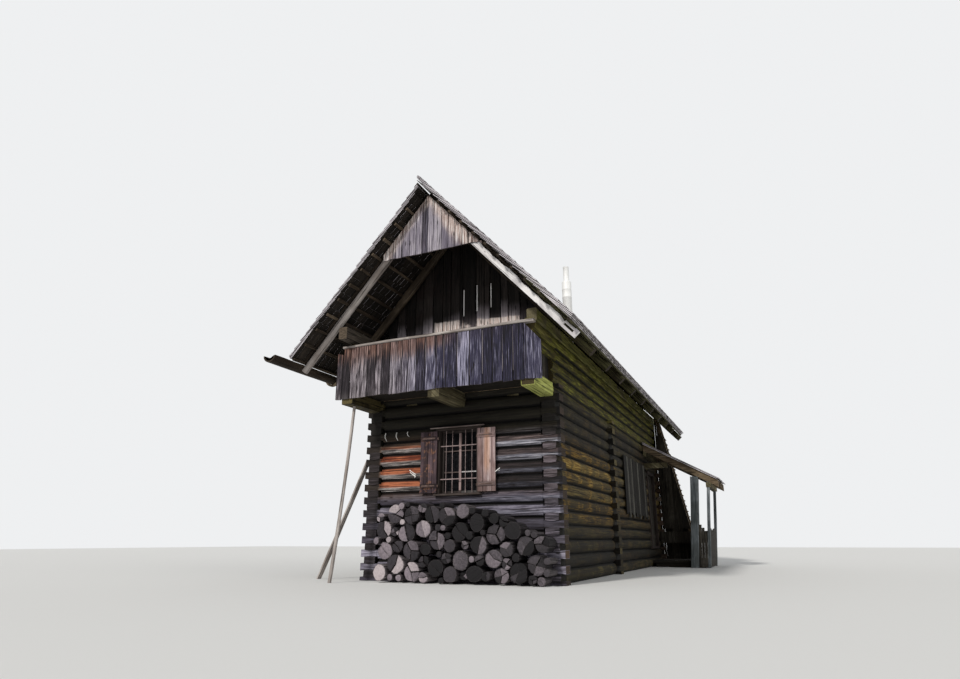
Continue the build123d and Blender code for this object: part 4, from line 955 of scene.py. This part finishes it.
def parapetBoards():
    # uneven upright boards with ragged feet, broader towards the right; the last one's top corner is cut away
    pile = Pile(60)
    rng = pile.rng
    x, half, index = -parapet["half"], parapet["half"], 0
    while x < half - .005:
        share = (x + half) / (2 * half)
        narrow, middle, wide = parapet["width"]
        width = rng.uniform(narrow + (middle - narrow) * share * .7, middle + (wide - middle) * share * .8)
        width = .125 if index == 0 else min(width, half - x)
        if half - x - width < .10:
            width = half - x
        gap = parapet["wideGap"] if index in parapet["openGaps"] else parapet["gap"]
        top, tilt = parapet["top"] - rng.uniform(0, .004), 0.0
        if index == 0:
            top, tilt = 3.83, -.25
        if x + width > half - .005:
            tilt, top = -1.1, parapet["top"] - .55 * width
        board(pile, x + width / 2, parapet["y"], alongX, width - gap, .027,
              parapet["low"] + rng.uniform(0, .02), top, lowTilt=rng.normal(0, .07), highTilt=tilt)
        x += width
        index += 1
    pile.piece("parapetBoards", agedWood("greyBoards", "parapetWood", region=parapetRegion),
               replaces=["parapet"])


def gableBoards(name, y, limit, bottom, depth, thick, material, nodes, seed, widths, raggedFoot=0.0,
                slits=()):
    # boards cut to the two slopes: each top follows the slope at its own distance from the middle
    pile = Pile(seed)
    rng = pile.rng
    marks = sorted([-limit, 0.0, limit, *slits])
    edges = []
    for start, stop in zip(marks, marks[1:]):
        count = max(1, round((stop - start) / (sum(widths) / 2)))
        cut = np.linspace(start, stop, count + 1)
        cut[1:-1] += rng.uniform(-.03, .03, count - 1)
        edges += list(cut[:-1])
    edges.append(limit)
    for x0, x1 in zip(edges, edges[1:]):
        left, right = [.011 if x in slits else .0025 for x in (x0, x1)]
        centre = (x0 + left + x1 - right) / 2
        low, top = bottom + rng.uniform(0, raggedFoot), slopeZ(abs(centre), depth)
        if top - low > .02:
            board(pile, centre, y, alongX, x1 - x0 - left - right, thick, low, top,
                  lowTilt=rng.normal(0, raggedFoot * 2), highTilt=-tangent if centre > 0 else tangent)
    for s in slits:
        side = -tangent if s > 0 else tangent
        for low, high, slant in ((bottom, 4.605, 0), (5.175, slopeZ(abs(s), depth), side)):
            board(pile, s, y, alongX, .0218, thick, low, high, highTilt=slant)
    pile.piece(name, material, replaces=nodes)


parapetBoards()
gableBoards("gableBoards", -1.3173, 1.165, 5.357, .157, .026,
            agedWood("greyBoards", "gableWood", region=gableRegion), ["gable_triangle"], 61, (.09, .17),
            .014)
gableBoards("loftBoards", -.046, 1.553, 3.178, .157, .026, agedWood("loftBoards", region=loftRegion),
            ["loft_front"], 62, (.13, .24), 0, (.06, .33, .61))
gableBoards("rearGableBoards", 9.4273, 1.553, 3.138, .157, .026, agedWood("greyBoards", "rearBoards"),
            ["rear_gable"], 63, (.13, .24), .0)


def slitLaths():
    # a pale lath beside each slit of the loft wall
    pile = Pile(67)
    for x, low, high in ((.06, 4.60, 5.12), (.33, 4.66, 5.17), (.61, 4.69, 5.16)):
        upright(pile, x + .024, -.0625, low, high, .012, .0024, **ironWork, bevel=.001, steps=8, tone=.95)
    pile.piece("slitLaths", paleWood)


slitLaths()


def beams():
    # hewn plates, handrail and the boards of the balcony's sides
    pile = Pile(64)
    for x, front in ((-1.677, -1.300), (1.677, -.802)):
        timber(pile, (x, front, 4.144), (x, 9.81, 4.144), alongX, .089, .111, rough=.006, bevel=.014,
               steps=60)
    pile.piece("hewnPlates", agedWood("beams", "plateWood", region=plateRegion, ends=plateEnds),
               replaces=["wall_plates"])
    pile = Pile(65)
    lying(pile, -1.81, 1.81, -1.041, 3.9468, .064, .0225, rough=.004, bow=.003, bevel=.009, steps=44,
          tone=.7)
    pile.piece("railTimber", agedWood("railWood"), replaces=["handrail"])
    pile = Pile(66)
    for side in (1, -1):
        for i in range(6):
            y = -.963 + .1390 * i
            board(pile, side * 1.691, y + .0675, alongY, .134, .027, 3.138, 3.583)
    pile.piece("balconySideBoards", agedWood("hungBoards", "sideBoardWood"),
               replaces=["balcony_sides"])


beams()

window = {"x": .03, "half": .35, "low": 1.42, "high": 2.49, "barY": -.095, "bar": .0056, "casingY": -.023,
          "casingHalf": .434, "sashY": -.053 + .018, "barPlaces": (-.25, -.125, .125, .25)}


def sashRegion(f):
    # bleached middle post, paler cross bars, nearly white low on the right, dark frame
    away = abs(f.x - window["x"])
    rim = f.smooth(away, .30, .31)
    rim = rim + (1 - rim) * f.smooth(abs(f.z - 1.955), .48, .49)
    post = f.fall(away, .025, .03)
    bright = f.smooth(f.x, .055, .07) * f.fall(f.z, 1.80, 1.82)
    f.wash(.8, f.fibre, (.35, (.022, .015, .014)), (.65, (.115, .085, .080)))
    f.wash(post * .85, f.fibre, (.35, (.15, .105, .10)), (.62, (.46, .34, .33)))
    f.wash(bright * .85, f.fibre, (.35, (.34, .31, .31)), (.6, (.86, .84, .84)))
    f.wash(rim * .9, f.fibre, (.4, (.008, .006, .005)), (.7, (.045, .035, .032)))


def windowParts():
    # casing, sill, drip board, sash bars and the iron bars before them
    x, half, low, high = window["x"], window["half"], window["low"], window["high"]
    y, outer = window["casingY"], window["casingHalf"]
    pile = Pile(70)
    for side in (-1, 1):
        upright(pile, x + side * (half + .0425), y, low + .001, high, .042, .119, rough=.002, bow=.001,
                steps=8)
    lying(pile, x - outer, x + outer, y, high + .0225, .119, .0222, rough=.002, bow=0, bevel=.005)
    pile.piece("windowJambs", joineryWood, replaces=["window_casing"])
    pile = Pile(71)
    lying(pile, x - outer, x + outer, -.058, low - .0255, .154, .0195, bow=0)
    pile.piece("windowSillBoard", joineryWood, replaces=["window_sill"])
    pile = Pile(72)
    timber(pile, (x - .498, -.184, high + .0445), (x + .498, -.184, high + .0445), (0, .98, .17), .058,
           .0105, rough=.002, bow=.002, bevel=.004, steps=14, tone=.8)
    pile.piece("windowDripBoard", sashWood, replaces=["window_drip_board"])
    pile = Pile(73)
    y = window["sashY"]
    for side in (-1, 1):
        upright(pile, x + side * (half - .0205), y, low + .002, high - .002, .020, .0175, **fineWork)
        for z in (low + .355, low + .715):
            lying(pile, x + side * .012, x + side * (half - .038), y, z, .014, .0105, **fineWork)
    upright(pile, x, y, low + .002, high - .002, .022, .0175, **fineWork)
    for z in (low + .021, high - .021):
        lying(pile, x - half + .002, x + half - .002, y, z, .0175, .0195, **fineWork)
    pile.piece("sashBars", agedWood("sashWood", "sashBarWood", region=sashRegion),
               replaces=["window_sash"])
    pile = Pile(74)
    for offset in window["barPlaces"]:
        upright(pile, x + offset, window["barY"], low + .003, high - .003, window["bar"], window["bar"],
                profile=roundProfile(8), rough=.0008, bow=.002, steps=14)
    for z in (low + .235, low + .80):
        lying(pile, x - half + .003, x + half - .003, window["barY"] - .012, z, window["bar"], .009,
              rough=.0008, bow=.001, bevel=.003, steps=10)
    pile.piece("windowBars", barIron)


def wallHooks():
    # pale bent hooks on the wall beyond the open shutters, each on a stub
    pile = Pile(77)
    for x in (.790, -.800):
        timber(pile, (x, -.095, 1.76), (x, -.196, 1.76), alongX, .006, .006, profile=roundProfile(8),
               **ironWork, steps=4)
    for start, end in (((-.885, 1.835), (-.770, 1.760)), ((-.870, 1.795), (-.758, 1.715)),
                       ((-.772, 1.700), (-.768, 1.770)), ((.753, 1.735), (.835, 1.792))):
        timber(pile, (start[0], -.198, start[1]), (end[0], -.198, end[1]), alongY, .004, .0055, rough=.0006,
               bow=.002, bevel=.002, steps=6, tone=.9)
    pile.piece("wallHooks", whitePegs)


shutters = {"inner": .416, "outer": .747, "y": -.168, "low": 1.428, "high": 2.482, "hinge": .402,
            "straps": (1.55, 2.36), "joints": (.095, .18, .255)}


def shutterLeaf(name, side, material, node, seed):
    # four boards on two battens, with the hinge straps and their eyes at the inner edge
    pile = Pile(seed)

    def place(x):
        return x if side > 0 else 2 * window["x"] - x
    inner, outer = shutters["inner"], shutters["outer"]
    cuts = [inner, *[inner + joint for joint in shutters["joints"]], outer]
    for a, b in zip(cuts, cuts[1:]):
        board(pile, place((a + b) / 2), shutters["y"], alongX, b - a - .002, .0245, shutters["low"] + .001,
              shutters["high"] - .001, steps=10)
    for z in shutters["straps"]:
        lying(pile, place(inner + .014), place(outer - .014), shutters["y"] - .0225, z, .0098, .037,
              **cleanWork, steps=8)
    pile.piece(name, material, body=node, replaces=[node])
    pile = Pile(seed + 1)
    hinge = shutters["hinge"]
    for z in shutters["straps"]:
        upright(pile, place(hinge), shutters["y"], z - .0148, z + .0148, .0108, .0108,
                profile=roundProfile(16), **ironWork, steps=4)
        lying(pile, place(hinge + .008), place(inner + .003), shutters["y"], z, .0038, .0145, rough=.0005,
              bow=0, bevel=.001)
        lying(pile, place(inner + .032), place(outer - .05), shutters["y"] - .0335, z, .0012, .013,
              **ironWork, bevel=.0004)
    pile.piece(name + "Iron", ironFinish, body=node)


joineryWood = agedWood("joinery")
sashWood = agedWood("sashWood")
whitePegs = whiteBone()
barIron = rustyIron("barIron", (.085, .052, .050), (.27, .20, .195), (.60, .50, .49))
ironFinish = rustyIron("rustyIron", (.018, .010, .008), (.085, .050, .040), (.24, .17, .15))
windowParts()
wallHooks()
shutterLeaf("rightShutter", 1, agedWood("pinkShutter", region=pinkRegion), "shutter_right", 80)
shutterLeaf("leftShutter", -1, agedWood("brownShutter", region=brownRegion), "shutter_left", 84)


pegs = {"places": ((-1.467, .15), (-1.23, .15), (-.998, .10)), "top": 2.53, "size": .0095, "sweep": .05,
        "bend": .038, "wallY": -.116}


def wallPegs():
    # three white curved pegs on the log left of the window
    pile = Pile(88)
    for x, length in pegs["places"]:
        t = np.linspace(0, 1, 9)
        path = np.stack([x + pegs["sweep"] * t ** 2, pegs["wallY"] - pegs["bend"] * np.sin(t * 2.2),
                         pegs["top"] - length * t], -1)
        size = (pegs["size"] * (1 - .5 * t))[:, None]
        turn = np.linspace(0, 2 * np.pi, 10, endpoint=False)[None]
        rings = path[:, None] + np.stack([size * np.cos(turn), size * np.sin(turn), 0 * size * turn], -1)
        pile.add(rings, t * length, np.zeros((1, 10)))
    pile.piece("wallPegs", whitePegs)


wallPegs()


def lathe(name, profile, material, nodes, x, y, sides):
    # closed profile (radius, height) turned round an upright axis
    r, z = np.array(profile).T[..., None]
    n = len(profile)
    turn = np.linspace(0, 2 * np.pi, sides, endpoint=False)
    points = np.stack([x + r * np.cos(turn), y + r * np.sin(turn), z + 0 * r * turn], -1).reshape(-1, 3)
    i, j = np.meshgrid(np.arange(n), np.arange(sides), indexing="ij")
    k, following = (j + 1) % sides, (i + 1) % n
    faces = np.stack([i * sides + j, i * sides + k, following * sides + k, following * sides + j], -1)
    mesh = bpy.data.meshes.new(name)
    mesh.from_pydata(points.tolist(), [], faces.reshape(-1, 4).tolist())
    install(name, mesh, material, "cabin", nodes, 40)


pipeMetal = paleMetal()
lathe("pipe", [(.097, 4.37), (.100, 4.37), (.100, 5.66), (.1028, 5.664), (.1028, 5.676), (.100, 5.68),
               (.100, 5.84), (.102, 5.845), (.102, 5.855), (.100, 5.86), (.100, 6.022), (.096, 6.034),
               (.066, 6.040), (.062, 6.046), (.062, 6.376), (.0645, 6.380), (.0645, 6.388), (.062, 6.390),
               (.059, 6.388), (.059, 6.036), (.094, 6.026), (.097, 6.018)], pipeMetal,
      ["chimney_pipe"], pipe["x"], pipe["y"], 40)


def flashing():
    # folded sheet on the shingles round the pipe, with a raised rim
    pile = Pile(90)
    down = (pipe["x"] - pipe["sheet"] * sine) / cosine
    t = np.linspace(-1, 1, 9)
    rings = [[onSlope(down + d, pipe["sheet"] + h, pipe["y"] + pipe["half"] * share) for d, h in pipe["rise"]]
             for share in t]
    pile.add(np.array(rings), t * pipe["half"], np.zeros((1, 7)))
    pile.piece("pipeFlashing", pipeMetal)


flashing()


gutter = {"radius": .130, "wall": .032, "outerWear": .005, "innerWear": .003, "rimWear": .008,
          "endHalf": (.120, .060), "endFrom": -.002, "endTo": .058}


def gutterTrough():
    # hollowed half log: an arc section with a wavy rim, carried along the left eave and closed at its rear
    pile = Pile(91)
    rng = pile.rng
    radius, wall = gutter["radius"], gutter["wall"]
    x0, z0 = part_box("gutter")[0].x + radius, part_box("gutter")[1].z
    low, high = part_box("gutter")[0].y + .002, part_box("gutter")[1].y - .062
    arc = np.radians(np.linspace(180, 360, 13))
    s = np.linspace(low, high, 90)
    outer = np.radians(np.linspace(180, 360, 11))
    inner = np.radians(np.linspace(358, 182, 9))
    ro = radius - gutter["outerWear"] * (1 + ripple(rng, s[:, None], outer[None], 3, 1.5))
    ri = radius - wall + gutter["innerWear"] * ripple(rng, s[:, None], inner[None], 3, 1.5)
    rim = gutter["rimWear"] * (1 + ripple(rng, s[:, None], 0 * s[:, None], 5, 0))
    xo, zo = x0 + ro * np.cos(outer), z0 + ro * np.sin(outer) - rim * (np.abs(np.cos(outer)) > .9)
    xi, zi = x0 + ri * np.cos(inner), z0 + ri * np.sin(inner) - rim * (np.abs(np.cos(inner)) > .9)
    x, z = np.concatenate([xo, xi], 1), np.concatenate([zo, zi], 1)
    rings = np.stack([x, s[:, None] + 0 * x, z], -1)
    pile.add(rings, s, np.zeros((1, 20)))
    timber(pile, (x0, high + gutter["endFrom"], z0 - .064), (x0, high + gutter["endTo"], z0 - .064), alongX,
           *gutter["endHalf"], steps=4, profile=np.column_stack([np.cos(arc), 1 + 2 * np.sin(arc)]))
    pile.piece("gutterTrough", agedWood("darkRafters", "gutterWood"), replaces=["gutter"])


gutterTrough()

porch = {"topZ": 3.19, "angle": math.radians(29), "faceX": 1.8, "front": 7.377, "length": 1.75,
         "lean": .085, "overhang": .058, "layers": ((.046, 3.60), (.016, 3.668)), "railPostTop": 2.225}


def porchZ(x, depth):
    # height of the porch roof at a distance from the middle, at a depth below its top
    return porch["topZ"] - (x - porch["faceX"]) * math.tan(porch["angle"]) - depth / math.cos(porch["angle"])


hung = {"count": 17, "start": 4.75, "length": 2.55, "x": 1.8143, "thick": .025, "low": 1.2, "wave": .06,
        "top": 2.548}


def hungAndPorch():
    # boards hung over the logs, the porch's roof boards and its posts
    greyWood = agedWood("hungBoards", region=hungRegion)
    pile = Pile(100)
    rng = pile.rng
    step = hung["length"] / hung["count"]
    for index in range(hung["count"]):
        y = hung["start"] + index * step
        low = hung["low"] + hung["wave"] * math.sin(index * 2.3) + rng.uniform(0, .02)
        board(pile, hung["x"], y + step / 2, alongY, step - rng.uniform(.012, .04), hung["thick"], low,
              hung["top"] - rng.uniform(0, .03), lowTilt=rng.normal(0, .08), highTilt=rng.normal(0, .04))
    pile.piece("hungBoards", greyWood, replaces=["hung_boards"])

    pile = Pile(101)      # two layers of roof boards down the slope, ragged at the eave
    rng = pile.rng
    for depth, reach in porch["layers"]:
        y = porch["front"] - porch["overhang"]
        last = porch["front"] + porch["length"] + porch["overhang"]
        while y < last - .04:
            width = min(rng.uniform(.10, .19), last - y)
            x0, x1 = 1.805, reach - rng.uniform(0, .04)
            timber(pile, (x0, y + width / 2, porchZ(x0, depth)), (x1, y + width / 2, porchZ(x1, depth)),
                   alongY, width / 2 - .003, .0125, rough=.002, bow=.002, bevel=.003, steps=12)
            y += width
    pile.piece("porchRoofBoards", shingleWood, replaces=["porch_roof"])

    pile = Pile(102)      # posts that lean out, hewn square
    lean = porch["lean"]
    z = porchZ(2.852 + .26, .21) - .002
    timber(pile, (2.850, 7.477, -.02), (2.852 + lean * z, 7.477, z), alongY, .098, .098, rough=.005,
           bevel=.012, steps=24, tone=.55)
    z = porch["railPostTop"]
    for y in (7.427, 9.077):
        timber(pile, (3.199, y, -.01), (3.2 + lean * z, y, z), alongY, .038, .038, bow=.003, bevel=.008,
               steps=20, tone=.75)
    pile.piece("porchPostTimbers", agedWood("postWood"), replaces=["porch_posts"])


hungAndPorch()


stack = {"left": -1.37, "right": 1.77, "tops": (1.09, 1.29, 1.29, 1.25, 1.16, .93, .70),
         "radii": (.150, .045), "tries": 9000, "front": -.529, "depth": .385, "crack": .004, "corners": 9}


def firewoodRegion(f):
    # dark bark, and splits with painted shade that darkens them to the right
    # painted shade: darker to the right
    f.wash(f.smooth(f.x + f.weather * .6, -.5, 1.0) * .6, f.fibre, (.4, (.003, .003, .003)),
           (.75, (.05, .045, .05)))


def splitEnds(f):
    # purple grey ends, a few pale ones to the left and mostly dark ones to the right, where painted shade
    # darkens them
    grain = f.noise(f.stretch(f.at, 26, 8, 26), 1, 5, .7)
    # painted shade: darker to the right
    level = f.tone * .75 + grain * .5 - f.smooth(f.x, -.9, .6) * .30
    f.wash(.8, level, (.20, (.006, .006, .007)), (.50, (.050, .044, .052)), (.78, (.26, .22, .25)),
           (1, (.56, .49, .50)))


def woodStack():
    # logs seen end on, dropped at random under the stack's top line from the thickest down to the thinnest
    # where there is still room; each is split into one to four parts, which are sectors with a rough rim
    pile = Pile(110)
    rng = pile.rng
    xs = np.linspace(stack["left"], stack["right"], len(stack["tops"]))
    spots = np.column_stack([rng.uniform(stack["left"], stack["right"], stack["tries"]),
                             rng.uniform(0, 1.3, stack["tries"])])
    radii = np.geomspace(*stack["radii"], stack["tries"])
    laid = np.zeros((0, 3))
    for (x, z), r in zip(spots, radii):
        inside = stack["left"] + r < x < stack["right"] - r and z > r * .97
        apart = np.hypot(laid[:, 0] - x, laid[:, 1] - z) > (laid[:, 2] + r) * .955
        if inside and z + r < np.interp(x, xs, stack["tops"]) and np.all(apart):
            laid = np.vstack([laid, [x, z, r]])
    s = np.array([0, .005, .10, .23, 1]) * stack["depth"]
    for x, z, r in laid:
        front, turned = stack["front"] + rng.uniform(0, .06), rng.uniform(0, 2 * np.pi)
        parts = [1, 2, 2, 3, 3, 4][rng.integers(0, 6)] if r > .065 else 1
        cuts = np.linspace(0, 2 * np.pi, parts + 1) + turned + np.append(rng.normal(0, .25, parts), 0)
        cuts[-1] = cuts[0] + 2 * np.pi
        for a, b in zip(cuts, cuts[1:]):
            turn = np.linspace(a, b, 14 if parts == 1 else stack["corners"], endpoint=parts > 1)
            rim = r * (1 + .05 * ripple(rng, turn, 0 * turn, 2.2, 0, 3) + .025 * rng.normal(size=len(turn)))
            outline = np.column_stack([rim * np.cos(turn), rim * np.sin(turn)]) * rng.uniform(.86, 1.02, 2)
            away = np.zeros(2)
            if parts > 1:
                outline = np.vstack([outline, [[0, 0]]])
                half = (a + b) / 2
                away = np.array([math.cos(half), math.sin(half)]) * stack["crack"] + rng.normal(0, .004, 2)
            middle = outline.mean(0)
            size = np.array([.93, 1, 1, .98, .95])[:, None, None]
            shape = middle + (outline - middle)[None] * size * .985 + away
            start = front + (rng.uniform(0, .035) if parts > 1 else 0)
            px, pz = x + shape[..., 0], np.maximum(z + shape[..., 1], .001)
            along = start + s[:, None] * (1 - (start - stack["front"]) / stack["depth"]) + 0 * px
            rings = np.stack([px, along, pz], -1)
            pile.add(rings, s + rng.uniform(0, 9), np.zeros((1, len(outline))),
                     pith=np.array([x, start, z]))
    pile.piece("firewoodBillets", agedWood("firewood", region=firewoodRegion, rim=.145, ends=splitEnds),
               replaces=["firewood"], sharp=45)


woodStack()


def cornerBoards():
    # boards behind the rear wall's log heads that close the screen's corner up to the plate and the battens
    pile = Pile(112)
    board(pile, 1.758, 9.497, alongX, .100, .022, .02, 4.02)
    for x in (1.840, 1.902):
        board(pile, x, 9.497, alongX, .060, .022, .02, slopeZ(x, .15), highTilt=-tangent)
    pile.piece("screenCornerBoards", agedWood("hungBoards", "cornerBoardWood"))


cornerBoards()


def leaningPieces():
    # a pole under the balcony's left bearer and a plank against the log heads
    pile = Pile(111)
    timber(pile, (-1.926, -.873, -.02), (-1.642, -.873, 2.91), alongY, .034, .034, profile=roundProfile(12),
           rough=.005, bow=.012, steps=30, taper=.85, tone=.6)
    timber(pile, (-2.842, 0, -.008), (-1.893, 0, 2.074), alongY, .059, .0155, rough=.002, bevel=.004,
           steps=16, tone=.75)
    pile.piece("leaningTimbers", agedWood("railWood", "leaningWood"),
               replaces=["leaning_poles"])


leaningPieces()

# finishes of the parts that keep their own shape: wood, name and the axis that its grain follows
keptWoods = {
    "ceiling_beams": ("beams", "beamWood", "y"), "floor_joists": ("floorWood", "joistWood", "x"),
    "ground_floor": ("floorWood", "groundFloorWood", "y"), "loft_floor": ("floorWood", "loftFloorWood", "y"),
    "balcony_deck": ("hungBoards", "deckWood", "x"), "gutter_hooks": ("rafterWood", "hookWood", "z"),
    "door_frame": ("joinery", "doorFrameWood", "z"), "door_leaf": ("hungBoards", "doorWood", "z"),
    "porch_rafters": ("rafterWood", "porchRafterWood", "x"), "porch_beams": ("beams", "porchBeamWood", "y"),
    "porch_parapet": ("hungBoards", "porchBoardWood", "z"),
    "porch_deck": ("hungBoards", "porchDeckWood", "x"), "screen_frame": ("rafterWood", "screenWood", "y"),
    "screen_boards": ("hungBoards", "screenBoardWood", "z"),
}
keptFinish = {node: agedWood(*row) for node, row in keptWoods.items()}
keptFinish.update({"window_glass": oldGlass(), "shutter_pins": ironFinish})
for node, material in keptFinish.items():
    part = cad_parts[node]
    part.data.materials.clear()
    part.data.materials.append(material)
print("kept parts finished")

studio = {"floor": (.80, .80, .79), "floorReach": 60, "sun": 2.15, "sunAngle": 6, "fill": .45,
          "fillAngle": 40, "world": .42, "sky": (.96, .98, 1, 1), "background": (.86, .87, .88, 1)}


def pale(name, colour):
    # plain pale floor with a faint cloudiness, which keeps the shadows
    f = Finish(name)
    cloud = f.noise(f.spot(), .6, 3)
    return f.close(colour=f.blend(cloud * .1, colour, shade(colour, .9)), rough=.9, specular=.1)


floorMesh = bpy.data.meshes.new("floor")
reach = studio["floorReach"]
floorMesh.from_pydata([(-reach, -reach, 0), (reach, -reach, 0), (reach, reach, 0), (-reach, reach, 0)], [],
                      [(0, 1, 2, 3)])
floorMesh.materials.append(pale("floorPaint", studio["floor"]))
floor = bpy.data.objects.new("floor", floorMesh)
bpy.context.scene.collection.objects.link(floor)


def lamp(name, direction, strength, angle, colour):
    # far lamp that shines along a direction; its angle softens the shadows
    data = bpy.data.lights.new(name, "SUN")
    data.energy, data.angle, data.color = strength, math.radians(angle), colour
    made = bpy.data.objects.new(name, data)
    made.rotation_mode = "QUATERNION"
    made.rotation_quaternion = Vector(direction).to_track_quat("-Z", "Y")
    bpy.context.scene.collection.objects.link(made)


lamp("keyLight", (.14, .62, -.43), studio["sun"], studio["sunAngle"], (1, .97, .92))
lamp("sideLight", (-.85, .25, -.35), studio["fill"], studio["fillAngle"], (1, .98, .93))

# soft light from all round, and a pale background where the camera, a reflection or glass sees past the cabin
world = Finish("studio", world=True)
bpy.context.scene.world = world.material
straight, glossy, through = [world.node("ShaderNodeLightPath", output=ray) for ray in (
    "Is Camera Ray", "Is Glossy Ray", "Is Transmission Ray")]
seen = straight.maths("MAXIMUM", glossy.maths("MAXIMUM", through))
soft = world.node("ShaderNodeBackground", sockets={0: studio["sky"], 1: studio["world"]})
white = world.node("ShaderNodeBackground", sockets={0: studio["background"], 1: 1})
shown = world.node("ShaderNodeMixShader", sockets={0: seen, 1: soft, 2: white})
world.node("ShaderNodeOutputWorld", sockets={0: shown})
bpy.context.scene.view_settings.view_transform = "Standard"

# camera where the photo was taken from: turned by yaw, then pitch, then roll
view = {"place": (4.897, -9.732, .65), "yaw": .426, "pitch": .310, "roll": -.002, "lens": 622.1 / 960 * 36,
        "shiftX": (480 - 484.9) / 960, "shiftY": (341.6 - 339.5) / 960}
camera = bpy.data.objects.new("camera", bpy.data.cameras.new("camera"))
camera.data.sensor_fit, camera.data.sensor_width, camera.data.lens = "HORIZONTAL", 36, view["lens"]
camera.data.shift_x, camera.data.shift_y = view["shiftX"], view["shiftY"]
ahead = Vector((-math.sin(view["yaw"]) * math.cos(view["pitch"]),
                math.cos(view["yaw"]) * math.cos(view["pitch"]),
                math.sin(view["pitch"])))
right = Vector((math.cos(view["yaw"]), math.sin(view["yaw"]), 0))
upward = right.cross(ahead)
turned = right * math.cos(view["roll"]) + upward * math.sin(view["roll"])
above = upward * math.cos(view["roll"]) - right * math.sin(view["roll"])
camera.matrix_world = Matrix((turned, above, -ahead)).transposed().to_4x4()
camera.location = view["place"]
camera.data.clip_end = 300
bpy.context.scene.collection.objects.link(camera)
bpy.context.scene.camera = camera
